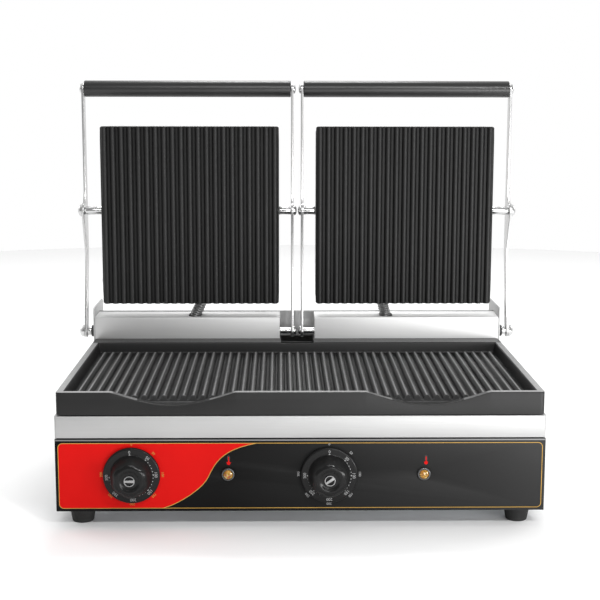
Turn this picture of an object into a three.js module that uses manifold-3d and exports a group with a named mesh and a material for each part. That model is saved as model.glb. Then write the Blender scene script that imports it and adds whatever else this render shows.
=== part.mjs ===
// Double contact grill: a ribbed cast lower plate on a sheet metal base, and two
// ribbed upper plates that swing on arms at the rear. Millimetres, +Z up, front at -Y.
// The rear counterbalance (shaft, crank, extension spring) and the ribbed plates
// are the pieces that take the most care.
import * as THREE from 'three';
import { mergeVertices } from 'three/addons/utils/BufferGeometryUtils.js';
import Module from 'manifold-3d';

const wasm = await Module();
wasm.setup();

// Clearances shared by every fit
const seat = 0.3;
const overrun = 1;

// Base: feet, front panel, stainless band, sheet
const foot_height = 18;
const foot_radius_top = 14;
const foot_radius_bottom = 11;
const foot_chamfer = 1.2;
const foot_screw_radius = 4;
const foot_screw_depth = 8;
const foot_inset_x = 23.1;
const foot_inset_y = 27;
const body_margin = 1.9;
const rear_box_depth = 78.1;
const panel_height = 75.8;
const panel_gap = 1.2;
const band_height = 22.5;
const sheet = 1.5;
const body_corner = 2.5;
const top_flange = 16;
const top_strip = 9.5;
const panel_return = 14;

// Lower cast plate
const plate_width = 495;
const plate_depth = 289.9;
const plate_height = 23.3;
const plate_corner = 4;
const shadow_gap = 1.4;
const rim_side = 8;
const wall_draft = 2;
const rim_front = 8;
const rim_rear = 27.4;
const pocket_depth = 12;
const gutter_drop = 1.6;
const gutter_front = 10;
const gutter_rear = 12.5;
const plate_thickness = 8;
const lip_inset = 4;
const lip_width = 5;
const scoop_width = 126;
const scoop_depth = 13.3;
const rib_pitch = 10;
const rib_width = 7.2;
const rib_height = 4;
const rib_run_out = 5;
const rib_corner_count = 4;
const notch_half_width = 19.8;
const notch_depth = 18;
const notch_sill = 2;
const notch_sill_drop = 1.2;

// Rear hinge box
const hinge_setback = 7.1;
const hinge_rise = 8.3;
const ear_rise = 38;
const ear_corner = 6;
const rear_wall_rise = 8;
const cover_height = 26.6;
const cover_depth = 41.5;
const cover_sheet = 1;
const cover_inner_x = 21.3;
const cover_bend = 2;
const tray_drop = 4;
const slot_width = 15.6;
const slot_length = 30;
const slot_back = 3.5;
const slot_round = 7.5;
const notch_gap = 1.2;

// Lid arms: beside the base and at the middle, pivot within the plate, handle above it
const pivot_height_share = 0.5257;
const handle_gap = 44.3;
const arm_thickness = 3;
const arm_side_gap = 8.1;
const arm_inner_x = 4.5;
const arm_bar_front = 13;
const arm_bar_width = 13;
const arm_taper_start = 95;
const arm_lobe_rise = 22;
const hinge_eye = 7.6;
const pivot_eye = 9;

// Shafts, bolts and the handle
const shaft_radius = 4;
const shaft_neck = 3;
const collar_radius = 5.2;
const collar_length = 4.6;
const bush_wall = 0.9;
const bush_flange_radius = 7;
const bush_flange = 2.6;
const hinge_dome_radius = 7.4;
const hinge_dome_height = 6.3;
const inner_dome_radius = 6;
const inner_dome_height = 3.6;
const pivot_dome_radius = 7.5;
const pivot_dome_height = 4.9;
const pivot_neck = 4;
const pivot_tube_radius = 5;
const pivot_nut_radius = 7;
const pivot_nut_length = 5;
const handle_radius = 9.8;
const handle_edge = 1;
const handle_rod_radius = 4;
const handle_neck = 3;
const handle_dome_radius = 6;
const handle_dome_height = 2.6;

// Upper plates and their casings: closed, they lie in the pocket of the lower plate
const upper_inner_x = 22.1;
const upper_side_gap = 3.4;
const upper_front_gap = 39.1;
const upper_rear_gap = 1.4;
const upper_face_offset = 15.6;
const upper_flange = 7.5;
const upper_rebate = 2;
const upper_thickness = 13;
const upper_rib_count = 21;
const upper_rib_width = 7;
const upper_rib_height = 3.6;
const casing_depth = 38;
const casing_sheet = 1.2;
const casing_corner = 7;
const casing_chamfer = 9;
const casing_inset = 0.3;

// Counterbalance
const bracket_x = 27;
const bracket_thickness = 5;
const bracket_depth = 26;
const bracket_foot = 3;
const bracket_foot_width = 16;
const crank_x = 75;
const crank_reach = 19.5;
const crank_width = 8;
const crank_thickness = 5;
const crank_room = 2;
const pin_radius = 2.5;
const pin_length = 9;
const spring_wire = 1.2;
const spring_radius = 5.2;
const spring_turns = 14;
const spring_hook_radius = 4.2;
const spring_lead = 17;
const anchor_setback = 13;
const anchor_rise = 22;
const anchor_thickness = 3;
const anchor_width = 16;

// Heating elements
const heater_radius = 4;
const heater_bend = 14;
const heater_rows = 4;
const lower_heater_margin_x = 57.5;
const lower_heater_margin_y = 119.9;
const upper_heater_margin_x = 74;
const upper_heater_margin_z = 64;

// Controls on the front panel, placed as shares of half its width
const control_drop = 37;
const knob_side_shares = [-0.68885, 0.11628];
const lamp_side_shares = [-0.29671, 0.50441];
const side_names = ['left', 'right'];
const side_signs = [-1, 1];
const dial_radius = 28.9;
const dial_thickness = 5;
const dial_edge = 1;
const grip_collar_radius = 21.3;
const grip_collar_height = 2.6;
const grip_radius_back = 19.8;
const grip_radius_front = 18.5;
const grip_length = 18.5;
const grip_lobes = 6;
const grip_lobe_corners = 6;
const grip_lobe_share = 0.055;
const grip_round_share = 0.84;
const insert_radius = 5.5;
const insert_ring = 1.2;
const insert_bar = 2.8;
const insert_depth = 1.6;
const insert_stand = 0.5;
const insert_groove = 0.5;
const panel_clearance = 1;
const spindle_radius = 3;
const spindle_depth = 12;
const spindle_hole = 4.5;
const thermostat_radius = 19;
const thermostat_length = 26;
const thermostat_boss = 6;
const thermostat_boss_radius = 9.5;
const thermostat_flat = 16;
const bezel_radius = 7;
const bezel_thickness = 2;
const bezel_barrel = 5.6;
const bezel_barrel_length = 14;
const lens_radius = 4.8;
const lens_height = 4;
const lens_facet_radius = 3.5;
const lens_facet_drop = 0.6;
const lens_facets = 8;

// Ventilation and cable gland
const vent_count = 7;
const vent_pitch = 14;
const vent_width = 5;
const vent_length = 60;
const vent_centre_y = 180;
const vent_centre_x = 110;
const rear_vent_count = 12;
const rear_vent_pitch = 12;
const rear_vent_height = 34;
const gland_inset = 59.4;
const gland_drop = 66;
const gland_radius = 9;
const gland_hex_radius = 12;
const gland_hex_length = 6;
const gland_nose = 13.5;
const gland_waist_radius = 7.7;
const gland_nose_radius = 5.6;
const gland_core_radius = 7;
const gland_bore = 4;
const gland_thread = 8;

// Conduits to the upper heaters
const conduit_radius = 6.9;
const conduit_bore = 4.8;
const conduit_rib = 0.7;
const conduit_rib_pitch = 2.6;
const conduit_sides = 8;
const conduit_bore_every = 5;
const conduit_back = 18;
const conduit_tail = 14;
const conduit_slot_offsets = [3.3, -19];
const conduit_casing_offsets = [10.1, -22.7];

// Levels and places that follow from the sizes above
const body_height = panel_height + panel_gap + band_height;
const body_bottom = foot_height;
const body_top = body_bottom + body_height;
const plate_bottom = body_top + shadow_gap;
const rim_z = plate_bottom + plate_height;
const floor_z = rim_z - pocket_depth;
const gutter_z = floor_z - gutter_drop;
const half_plate = plate_width / 2;
const half_body = half_plate + body_margin;
const body_depth = plate_depth + rear_box_depth;
const half_pocket = half_plate - rim_side;
const pocket_back = plate_depth - rim_rear;
const ear_inner = half_body - sheet;
const hinge_y = plate_depth + hinge_setback;
const hinge_z = rim_z + hinge_rise;
const upper_width = half_pocket - upper_side_gap - upper_inner_x;
const upper_height = pocket_back - upper_rear_gap - rim_front - upper_front_gap;
const upper_low = hinge_z + hinge_setback + rim_rear + upper_rear_gap;
const upper_high = upper_low + upper_height;
const upper_outer_x = upper_inner_x + upper_width;
const upper_mid_x = upper_inner_x + upper_width / 2;
const pivot_z = upper_low + upper_height * pivot_height_share;
const handle_z = upper_high + handle_gap;
const handle_y = hinge_y + arm_bar_front + arm_bar_width / 2;
const tray_z = rim_z - tray_drop;
const cover_top = rim_z + cover_height;
const cover_front = plate_depth + seat;
const cover_back = plate_depth + cover_depth;
const tray_back = cover_back + seat;
const face_y = hinge_y - upper_face_offset;
const casing_front = face_y + upper_flange + seat;
const casing_back = casing_front + casing_depth;
const casing_inner_x = upper_inner_x + casing_inset;
const casing_outer_x = upper_outer_x - casing_inset;
const control_z = body_bottom + panel_height - control_drop;
const conduit_y = hinge_y + conduit_back;
const crank_z = hinge_z - crank_reach;
const anchor_y = hinge_y + anchor_setback;
const anchor_z = body_bottom + anchor_rise;
const gland_x = gland_inset - half_body;
const knob_places = knob_side_shares.map((share) => half_body * share);
const lamp_places = lamp_side_shares.map((share) => half_body * share);
const conduit_slot_places = side_signs.map(
  (side, i) => side * upper_mid_x + conduit_slot_offsets[i],
);
const conduit_casing_places = side_signs.map(
  (side, i) => side * upper_mid_x + conduit_casing_offsets[i],
);
const arm_outer_x = half_body + arm_side_gap;
const arm_outer_end = arm_outer_x + arm_thickness;
const arm_inner_end = arm_inner_x + arm_thickness;
const ear_bore = shaft_radius + seat + bush_wall + seat;

// Looks, one colour and finish each
function look(color, roughness, metalness) {
  return new THREE.MeshStandardMaterial({ color, roughness, metalness });
}
const stainless = look(0xd2d2d0, 0.34, 1);
const bright_steel = look(0xe2e2e2, 0.22, 1);
const zinc_steel = look(0xa9acb0, 0.45, 1);
const cast_iron = look(0x2e2e2f, 0.62, 0.5);
const black_paint = look(0x1d1d1e, 0.4, 0.1);
const black_rubber = look(0x1a1a1a, 0.85, 0);
const black_grip = look(0x333233, 0.6, 0);
const black_moulding = look(0x1b1b1c, 0.32, 0);
const chrome = look(0xd9d9d9, 0.15, 1);
const amber = look(0xc98a1e, 0.15, 0);
const nylon = look(0x2a2a2a, 0.6, 0);
const steatite = look(0xe7e2d6, 0.5, 0);
const element_steel = look(0x6f6a64, 0.5, 0.9);
const brass = look(0xb08d45, 0.35, 1);

// Solids: closed geometry in, booleans with manifold, geometry out
function volume_of(positions, index) {
  const a = new THREE.Vector3();
  const b = new THREE.Vector3();
  const c = new THREE.Vector3();
  let total = 0;
  for (let i = 0; i < index.count; i += 3) {
    a.fromBufferAttribute(positions, index.getX(i));
    b.fromBufferAttribute(positions, index.getX(i + 1));
    c.fromBufferAttribute(positions, index.getX(i + 2));
    total += a.dot(b.cross(c));
  }
  return total;
}

function solid(geometry) {
  const bare = geometry.clone();
  bare.deleteAttribute('normal');
  bare.deleteAttribute('uv');
  const merged = mergeVertices(bare);
  const triVerts = Uint32Array.from(merged.index.array);
  if (volume_of(merged.attributes.position, merged.index) < 0) {
    triVerts.reverse();
  }
  const vertProperties = Float32Array.from(merged.attributes.position.array);
  const mesh = new wasm.Mesh({ numProp: 3, vertProperties, triVerts });
  mesh.merge();
  return new wasm.Manifold(mesh);
}

function geometry_of(body) {
  const mesh = body.getMesh();
  const geometry = new THREE.BufferGeometry();
  const positions = Float32Array.from(mesh.vertProperties);
  geometry.setAttribute('position', new THREE.BufferAttribute(positions, mesh.numProp));
  geometry.setIndex(new THREE.BufferAttribute(Uint32Array.from(mesh.triVerts), 1));
  return geometry;
}

function union(bodies) {
  return bodies.reduce((whole, body) => whole.add(body));
}

// Directions: a profile drawn in two of the axes and extruded along the third
function along_x(geometry, start) {
  const turn = new THREE.Matrix4().makeBasis(
    new THREE.Vector3(0, 1, 0),
    new THREE.Vector3(0, 0, 1),
    new THREE.Vector3(1, 0, 0),
  );
  return geometry.applyMatrix4(turn).translate(start, 0, 0);
}

function along_y(geometry, end) {
  const turn = new THREE.Matrix4().makeBasis(
    new THREE.Vector3(1, 0, 0),
    new THREE.Vector3(0, 0, 1),
    new THREE.Vector3(0, -1, 0),
  );
  return geometry.applyMatrix4(turn).translate(0, end, 0);
}

function extrude(shape, depth, curveSegments = 4) {
  return new THREE.ExtrudeGeometry(shape, { depth, bevelEnabled: false, curveSegments });
}

// A profile in Y and Z between two X places
function bar_x(shape, x0, x1, curveSegments) {
  return solid(along_x(extrude(shape, x1 - x0, curveSegments), x0));
}

// A profile in X and Z between two Y places
function bar_y(shape, y0, y1, curveSegments) {
  return solid(along_y(extrude(shape, y1 - y0, curveSegments), y1));
}

// A profile in X and Y between two Z places
function bar_z(shape, z0, z1, curveSegments) {
  return solid(extrude(shape, z1 - z0, curveSegments).translate(0, 0, z0));
}

function rectangle(u0, v0, u1, v1, corner = 0) {
  const shape = new THREE.Shape();
  if (corner === 0) {
    shape.moveTo(u0, v0);
    shape.lineTo(u1, v0);
    shape.lineTo(u1, v1);
    shape.lineTo(u0, v1);
    shape.closePath();
    return shape;
  }
  shape.moveTo(u0 + corner, v0);
  shape.lineTo(u1 - corner, v0);
  shape.absarc(u1 - corner, v0 + corner, corner, -Math.PI / 2, 0, false);
  shape.lineTo(u1, v1 - corner);
  shape.absarc(u1 - corner, v1 - corner, corner, 0, Math.PI / 2, false);
  shape.lineTo(u0 + corner, v1);
  shape.absarc(u0 + corner, v1 - corner, corner, Math.PI / 2, Math.PI, false);
  shape.lineTo(u0, v0 + corner);
  shape.absarc(u0 + corner, v0 + corner, corner, Math.PI, Math.PI * 1.5, false);
  return shape;
}

function box(x0, x1, y0, y1, z0, z1, corner = 0) {
  return bar_z(rectangle(x0, y0, x1, y1, corner), z0, z1);
}

function polygon(points) {
  return new THREE.Shape(points.map(([u, v]) => new THREE.Vector2(u, v)));
}

function disc(u, v, radius) {
  const shape = new THREE.Shape();
  shape.absarc(u, v, radius, 0, Math.PI * 2, false);
  return shape;
}

function rod_x(y, z, radius, x0, x1, segments = 8) {
  return bar_x(disc(y, z, radius), x0, x1, segments);
}

function rod_y(x, z, radius, y0, y1, segments = 8) {
  return bar_y(disc(x, z, radius), y0, y1, segments);
}

function rod_z(x, y, radius, z0, z1, segments = 8) {
  return bar_z(disc(x, y, radius), z0, z1, segments);
}

// Revolved pieces: the profile is a list of [radius, place along the axis]
function revolve(profile, segments = 20) {
  const points = profile.map(([r, s]) => new THREE.Vector2(r, s));
  return new THREE.LatheGeometry(points, segments);
}

function turned_x(profile, y, z, segments) {
  return revolve(profile, segments).rotateZ(-Math.PI / 2).translate(0, y, z);
}

function turned_y(profile, x, z, segments) {
  return revolve(profile, segments).translate(x, 0, z);
}

function turned_z(profile, x, y, segments) {
  return revolve(profile, segments).rotateX(Math.PI / 2).translate(x, y, 0);
}

// A domed end on the axis: from its flat rim at place s towards s + height
const dome_step_shares = [[1, 0.3], [0.87, 0.62], [0.55, 0.88], [0, 1]];
function dome(radius, place, height) {
  return dome_step_shares.map(([r, s]) => [radius * r, place + height * s]);
}

// Bent sheet: an open line of [y, z] points given a thickness on its left
function bent_sheet(line, thickness) {
  const points = line.map(([u, v]) => new THREE.Vector2(u, v));
  const normals = [];
  for (let i = 0; i + 1 < points.length; i += 1) {
    const along = points[i + 1].clone().sub(points[i]).normalize();
    normals.push(new THREE.Vector2(-along.y, along.x));
  }
  const offset = points.map((point, i) => {
    const before = normals[Math.max(i - 1, 0)];
    const after = normals[Math.min(i, normals.length - 1)];
    const mean = before.clone().add(after).normalize();
    return point.clone().add(mean.multiplyScalar(thickness / mean.dot(after)));
  });
  return new THREE.Shape(points.concat(offset.reverse()));
}

// A tube round a list of centre points: one ring of corners per point, closed ends
function ring_tube(points, radius_at, sides) {
  const positions = [];
  const index = [];
  const up = new THREE.Vector3();
  let side = null;
  points.forEach((point, i) => {
    const before = points[Math.max(i - 1, 0)];
    const after = points[Math.min(i + 1, points.length - 1)];
    const along = after.clone().sub(before).normalize();
    if (side === null) {
      side = new THREE.Vector3(1, 0, 0);
      if (Math.abs(along.x) > Math.SQRT1_2) {
        side.set(0, 1, 0);
      }
    }
    side.sub(along.clone().multiplyScalar(side.dot(along))).normalize();
    up.crossVectors(along, side);
    for (let k = 0; k < sides; k += 1) {
      const angle = (Math.PI * 2 * k) / sides;
      const reach = side.clone().multiplyScalar(Math.cos(angle));
      reach.add(up.clone().multiplyScalar(Math.sin(angle)));
      reach.multiplyScalar(radius_at(i)).add(point);
      positions.push(reach.x, reach.y, reach.z);
    }
  });
  const ring_count = points.length;
  for (let i = 0; i + 1 < ring_count; i += 1) {
    for (let k = 0; k < sides; k += 1) {
      const a = i * sides + k;
      const b = i * sides + ((k + 1) % sides);
      index.push(a, b, a + sides, b, b + sides, a + sides);
    }
  }
  const last = (ring_count - 1) * sides;
  for (let k = 1; k + 1 < sides; k += 1) {
    index.push(0, k + 1, k);
    index.push(last, last + k, last + k + 1);
  }
  const geometry = new THREE.BufferGeometry();
  geometry.setAttribute('position', new THREE.Float32BufferAttribute(positions, 3));
  geometry.setIndex(index);
  return geometry;
}

// Least gap of a wound tube to itself, between points at least so many steps apart
function least_gap(points, radius, steps_apart) {
  let least = Infinity;
  for (let i = 0; i < points.length; i += 1) {
    for (let j = i + steps_apart; j < points.length; j += 1) {
      least = Math.min(least, points[i].distanceTo(points[j]) - radius * 2);
    }
  }
  return least;
}

// Two mirrored places: the left half of the grill has side -1, the right half +1
const halves = side_signs.map((side, i) => [side, side_names[i]]);

function span(side, inner, outer) {
  return side < 0 ? [-outer, -inner] : [inner, outer];
}

const grill = new THREE.Group();
const base = new THREE.Group();
const controls = new THREE.Group();
grill.add(base, controls);

function place(group, name, body, material) {
  const closed = body instanceof THREE.BufferGeometry ? solid(body) : body;
  const mesh = new THREE.Mesh(geometry_of(closed), material);
  mesh.name = name;
  group.add(mesh);
}

// Base shell: stainless wrap with the front band, top flange and rear hinge ears
function body_shell() {
  const outer = box(-half_body, half_body, 0, body_depth, body_bottom, body_top, body_corner);
  const hollow = box(
    -ear_inner, ear_inner, sheet, body_depth - sheet, body_bottom - overrun, body_top - sheet,
  );
  const window_back = plate_depth - lip_inset - lip_width - top_strip;
  const inside = half_body - top_flange;
  const front_window = box(
    -inside, inside, top_flange, window_back, body_top - sheet - overrun, body_top + overrun,
  );
  const rear_window = box(
    -ear_inner, ear_inner, cover_front + sheet + seat, body_depth - sheet,
    body_top - sheet - overrun, body_top + overrun,
  );
  const front_cut = box(
    -half_body - overrun, half_body + overrun, -overrun, sheet + seat,
    body_bottom - overrun, body_top - band_height,
  );
  const ear_high = rim_z + ear_rise;
  const ear_shape = rectangle(plate_depth, body_top - sheet, body_depth, ear_high, ear_corner);
  const ears = halves.map(([side]) => {
    const [x0, x1] = span(side, ear_inner, half_body);
    const foot = box(x0, x1, plate_depth, body_depth, body_top - sheet, body_top + ear_corner);
    return bar_x(ear_shape, x0, x1).add(foot);
  });
  const rear_wall = box(
    -half_body, half_body, body_depth - sheet, body_depth,
    body_top - sheet, rim_z + rear_wall_rise,
  );
  let shell = outer.subtract(hollow).subtract(front_window).subtract(rear_window);
  shell = shell.subtract(front_cut).add(rear_wall).add(ears[0]).add(ears[1]);
  const ear_end = half_body + overrun;
  shell = shell.subtract(rod_x(hinge_y, hinge_z, ear_bore, -ear_end, ear_end, 7));
  const vent_z = body_bottom + body_height / 2;
  for (let i = 0; i < rear_vent_count; i += 1) {
    const x = (i - (rear_vent_count - 1) / 2) * rear_vent_pitch;
    const low = vent_z - rear_vent_height / 2;
    const slit = rectangle(
      x - vent_width / 2, low, x + vent_width / 2, low + rear_vent_height,
    );
    shell = shell.subtract(bar_y(slit, body_depth - sheet - overrun, body_depth + overrun));
  }
  const gland_hole = rod_y(
    gland_x, body_top - gland_drop, gland_thread + seat,
    body_depth - sheet - overrun, body_depth + overrun, 6,
  );
  return shell.subtract(gland_hole);
}

// Front panel: a black tray whose returns tuck inside the shell
function front_panel() {
  const high = body_bottom + panel_height;
  let panel = box(-half_body, half_body, 0, sheet, body_bottom, high);
  const out_x = ear_inner - seat;
  const low = body_bottom + sheet + seat;
  const frame = rectangle(-out_x, low, out_x, high);
  frame.holes.push(rectangle(-out_x + sheet, low + sheet, out_x - sheet, high - sheet));
  panel = panel.add(bar_y(frame, sheet - seat, sheet + panel_return));
  knob_places.forEach((x) => {
    panel = panel.subtract(rod_y(x, control_z, spindle_hole, -overrun, sheet + overrun, 5));
  });
  lamp_places.forEach((x) => {
    panel = panel.subtract(rod_y(x, control_z, bezel_barrel + seat, -overrun, sheet + overrun, 5));
  });
  return panel;
}

// Bottom pan: closes the base, with cooling slots between the feet
function bottom_pan() {
  const out_x = ear_inner - seat;
  const front = sheet + panel_return + seat;
  const back = body_depth - sheet - seat;
  const outer = box(-out_x, out_x, front, back, body_bottom, body_bottom + panel_return);
  const hollow = box(
    -out_x + sheet, out_x - sheet, front + sheet, back - sheet,
    body_bottom + sheet, body_bottom + panel_return + overrun,
  );
  let pan = outer.subtract(hollow);
  halves.forEach(([side]) => {
    for (let i = 0; i < vent_count; i += 1) {
      const x = side * vent_centre_x + (i - (vent_count - 1) / 2) * vent_pitch;
      const vent = rectangle(
        x - vent_width / 2, vent_centre_y - vent_length / 2,
        x + vent_width / 2, vent_centre_y + vent_length / 2,
      );
      pan = pan.subtract(bar_z(vent, body_bottom - overrun, body_bottom + sheet + overrun));
    }
  });
  return pan;
}

function foot(x, y) {
  const top = foot_height - seat;
  return turned_z([
    [0, foot_screw_depth],
    [foot_screw_radius, foot_screw_depth],
    [foot_screw_radius, 0],
    [foot_radius_bottom - foot_chamfer, 0],
    [foot_radius_bottom, foot_chamfer],
    [foot_radius_top, top],
    [0, top],
  ], x, y, 16);
}

// A run of ribs in profile: half-round humps on a flat floor
function rib_profile(count, pitch, width, height, floor, low, half_width) {
  const points = [[-half_width, low], [half_width, low], [half_width, floor]];
  for (let i = count - 1; i >= 0; i -= 1) {
    const centre = (i - (count - 1) / 2) * pitch;
    for (let k = 0; k <= rib_corner_count; k += 1) {
      const angle = (Math.PI * k) / rib_corner_count;
      const u = centre + (Math.cos(angle) * width) / 2;
      points.push([u, floor + Math.sin(angle) * height]);
    }
  }
  points.push([-half_width, floor]);
  return points;
}

// Lower plate: drafted pocket, ribs that run out into two gutters, scooped front rim,
// rear rim notched where the inner arms stand
function lower_plate() {
  const block = box(
    -half_plate, half_plate, 0, plate_depth, plate_bottom, rim_z, plate_corner,
  );
  const pocket_side = polygon([
    [-half_pocket + wall_draft, gutter_z],
    [half_pocket - wall_draft, gutter_z],
    [half_pocket + overrun * (wall_draft / pocket_depth), rim_z + overrun],
    [-half_pocket - overrun * (wall_draft / pocket_depth), rim_z + overrun],
  ]);
  const pocket = bar_y(pocket_side, rim_front, pocket_back);
  const field_half = half_pocket - wall_draft / 2;
  const rib_count = Math.floor((2 * field_half - rib_width) / rib_pitch) + 1;
  const under_z = floor_z - plate_thickness;
  const ribs = polygon(rib_profile(
    rib_count, rib_pitch, rib_width, rib_height, floor_z, under_z, field_half,
  ));
  const field_front = rim_front + gutter_front;
  const field_back = pocket_back - gutter_rear;
  let field = bar_y(ribs, field_front, field_back);
  [[field_front, 1], [field_back, -1]].forEach(([y, turn]) => {
    const run = turn * rib_run_out;
    const lead = turn * overrun;
    const wedge = polygon([
      [y - lead, floor_z],
      [y, floor_z],
      [y + run, floor_z + rib_height],
      [y + run, floor_z + rib_height + overrun],
      [y - lead, floor_z + rib_height + overrun],
    ]);
    field = field.subtract(bar_x(wedge, -half_plate, half_plate));
  });
  let plate = block.subtract(pocket).add(field);
  const under = box(
    -half_plate + lip_inset + lip_width, half_plate - lip_inset - lip_width,
    lip_inset + lip_width, plate_depth - lip_inset - lip_width,
    plate_bottom - overrun, under_z,
  );
  plate = plate.subtract(under);
  const lip = rectangle(
    -half_plate + lip_inset, lip_inset, half_plate - lip_inset, plate_depth - lip_inset,
  );
  lip.holes.push(rectangle(
    -half_plate + lip_inset + lip_width, lip_inset + lip_width,
    half_plate - lip_inset - lip_width, plate_depth - lip_inset - lip_width,
  ));
  const half = notch_half_width;
  const back = plate_depth + overrun;
  const top = rim_z + overrun;
  const sill = box(-half, half, pocket_back - overrun, back, rim_z - notch_sill_drop, top);
  const notch = box(-half, half, pocket_back + notch_sill, back, rim_z - notch_depth, top);
  plate = plate.subtract(sill).subtract(notch);
  plate = plate.add(bar_z(lip, body_top + seat, plate_bottom + seat));
  halves.forEach(([side]) => {
    plate = plate.subtract(bar_y(scoop(side * upper_mid_x), -overrun, rim_front + overrun));
  });
  return plate;
}

// One scoop in the front rim: a smooth dip between two crests
function scoop(centre) {
  const steps = 16;
  const points = [[centre + scoop_width / 2, rim_z + overrun]];
  points.push([centre - scoop_width / 2, rim_z + overrun]);
  for (let i = 0; i <= steps; i += 1) {
    const t = i / steps;
    const dip = (1 - Math.cos(Math.PI * 2 * t)) / 2;
    points.push([
      centre + (t - 1 / 2) * scoop_width,
      rim_z - Math.sqrt(dip) * scoop_depth,
    ]);
  }
  return polygon(points);
}

// Tubular element: two loops of a bent rod that lie in one plane
function heater_path(centre_u, centre_v, span_u, span_v) {
  const half_v = span_v / 2;
  const r = heater_bend;
  const rows = [];
  for (let i = 0; i < heater_rows; i += 1) {
    rows.push(span_u * (i / (heater_rows - 1) - 1 / 2));
  }
  const path = [];
  const turn_steps = 3;
  rows.forEach((u, i) => {
    const up = i % 2 === 0;
    const start = up ? -half_v : half_v;
    const end = up ? half_v : -half_v;
    const from = i === 0 ? start : start + (up ? r : -r);
    const to = i === rows.length - 1 ? end : end - (up ? r : -r);
    path.push([u, from], [u, to]);
    if (i < rows.length - 1) {
      const next = rows[i + 1];
      for (let k = 1; k < turn_steps; k += 1) {
        const angle = (Math.PI / 2) * (k / turn_steps);
        path.push([
          u + r * (1 - Math.cos(angle)),
          to + (up ? 1 : -1) * r * Math.sin(angle),
        ]);
      }
      path.push([u + r, end], [next - r, end]);
      for (let k = 1; k < turn_steps; k += 1) {
        const angle = (Math.PI / 2) * (k / turn_steps);
        path.push([
          next - r + r * Math.sin(angle),
          end - (up ? 1 : -1) * r * (1 - Math.cos(angle)),
        ]);
      }
    }
  });
  return path.map(([u, v]) => [centre_u + u, centre_v + v]);
}

function lower_heater(side) {
  const z = floor_z - plate_thickness - seat - heater_radius;
  const x0 = (side * half_plate) / 2;
  const across = half_plate - lower_heater_margin_x;
  const along = plate_depth - lower_heater_margin_y;
  const path = heater_path(x0, plate_depth / 2, across, along);
  const points = path.map(([x, y]) => new THREE.Vector3(x, y, z));
  return ring_tube(points, () => heater_radius, 6);
}

function upper_heater(side) {
  const y = face_y + upper_thickness + seat + heater_radius;
  const z = upper_low + upper_height / 2;
  const across = upper_width - upper_heater_margin_x;
  const along = upper_height - upper_heater_margin_z;
  const path = heater_path(side * upper_mid_x, z, across, along);
  const points = path.map(([x, v]) => new THREE.Vector3(x, y, v));
  return ring_tube(points, () => heater_radius, 6);
}

// Hinge tray: one folded sheet between the ears, with slots for cranks and conduits
// and an opening between the covers
function hinge_tray() {
  const front = cover_front + sheet;
  const line = [
    [front, body_top + seat],
    [front, tray_z - sheet],
    [tray_back + sheet, tray_z - sheet],
    [tray_back + sheet, cover_top - sheet],
    [body_depth - sheet * 2 - seat, rim_z + rear_wall_rise - sheet],
    [body_depth - sheet * 2 - seat, rim_z - tray_drop],
  ];
  const profile = bent_sheet(line, sheet);
  let tray = bar_x(profile, -ear_inner + seat, ear_inner - seat);
  const half = notch_half_width;
  tray = tray.subtract(box(-half, half, front - overrun, tray_back, body_top, tray_z + overrun));
  halves.forEach(([side], i) => {
    const [x0, x1] = span(side, crank_x - crank_thickness, crank_x + pin_length + crank_room);
    const slot = [hinge_y - crank_width / 2 - seat * 2, hinge_y + crank_reach + crank_width];
    tray = tray.subtract(box(x0, x1, slot[0], slot[1], tray_z - sheet - overrun, tray_z + overrun));
    const x = conduit_slot_places[i];
    tray = tray.subtract(rod_z(
      x, conduit_y, conduit_radius + seat, tray_z - sheet - overrun, tray_z + overrun, 5,
    ));
  });
  return tray;
}

// Hinge cover: front, top and inner end wall, open below, notched round the shaft
function hinge_cover(side, slot_x) {
  const low = tray_z + seat;
  const outline = new THREE.Shape();
  outline.moveTo(cover_front, low);
  outline.lineTo(cover_front, cover_top - cover_bend);
  const bend_z = cover_top - cover_bend;
  outline.absarc(cover_front + cover_bend, bend_z, cover_bend, Math.PI, Math.PI / 2, true);
  outline.lineTo(cover_back, cover_top);
  outline.lineTo(cover_back, low);
  outline.closePath();
  const [x0, x1] = span(side, cover_inner_x, ear_inner - seat);
  const outer = bar_x(outline, x0, x1, 3);
  const [h0, h1] = span(side, cover_inner_x + cover_sheet, ear_inner - seat + overrun);
  const hollow = box(
    h0, h1, cover_front + cover_sheet, cover_back + overrun, low - overrun, cover_top - cover_sheet,
  );
  const notch_half = shaft_radius + notch_gap;
  const [n0, n1] = span(side, cover_inner_x - overrun, cover_inner_x + cover_sheet + overrun);
  const notch = box(
    n0, n1, hinge_y - notch_half, hinge_y + notch_half, low - overrun, hinge_z,
  ).add(rod_x(hinge_y, hinge_z, notch_half, n0, n1, 5));
  const slot = box(
    slot_x - slot_width / 2, slot_x + slot_width / 2,
    cover_front + slot_back, cover_front + slot_back + slot_length,
    cover_top - cover_sheet - overrun, cover_top + overrun, slot_round,
  );
  return outer.subtract(hollow).subtract(notch).subtract(slot);
}

// Bearing bracket near the inner end of each shaft, with its foot on the tray
function hinge_bracket(side) {
  const low = tray_z + seat;
  const front = cover_front + cover_sheet + seat;
  const radius = hinge_y - front;
  const outline = new THREE.Shape();
  outline.moveTo(front, low);
  outline.lineTo(front + bracket_depth, low);
  outline.lineTo(front + bracket_depth, low + bracket_foot);
  outline.lineTo(hinge_y + radius, hinge_z);
  outline.absarc(hinge_y, hinge_z, radius, 0, Math.PI, false);
  outline.closePath();
  const bore = new THREE.Path();
  bore.absarc(hinge_y, hinge_z, shaft_radius + seat, 0, Math.PI * 2, true);
  outline.holes.push(bore);
  const [x0, x1] = span(side, bracket_x, bracket_x + bracket_thickness);
  const [f0, f1] = span(side, bracket_x, bracket_x + bracket_foot_width);
  const base_foot = box(f0, f1, front + radius, front + bracket_depth, low, low + bracket_foot);
  return bar_x(outline, x0, x1, 6).add(base_foot);
}

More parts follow.
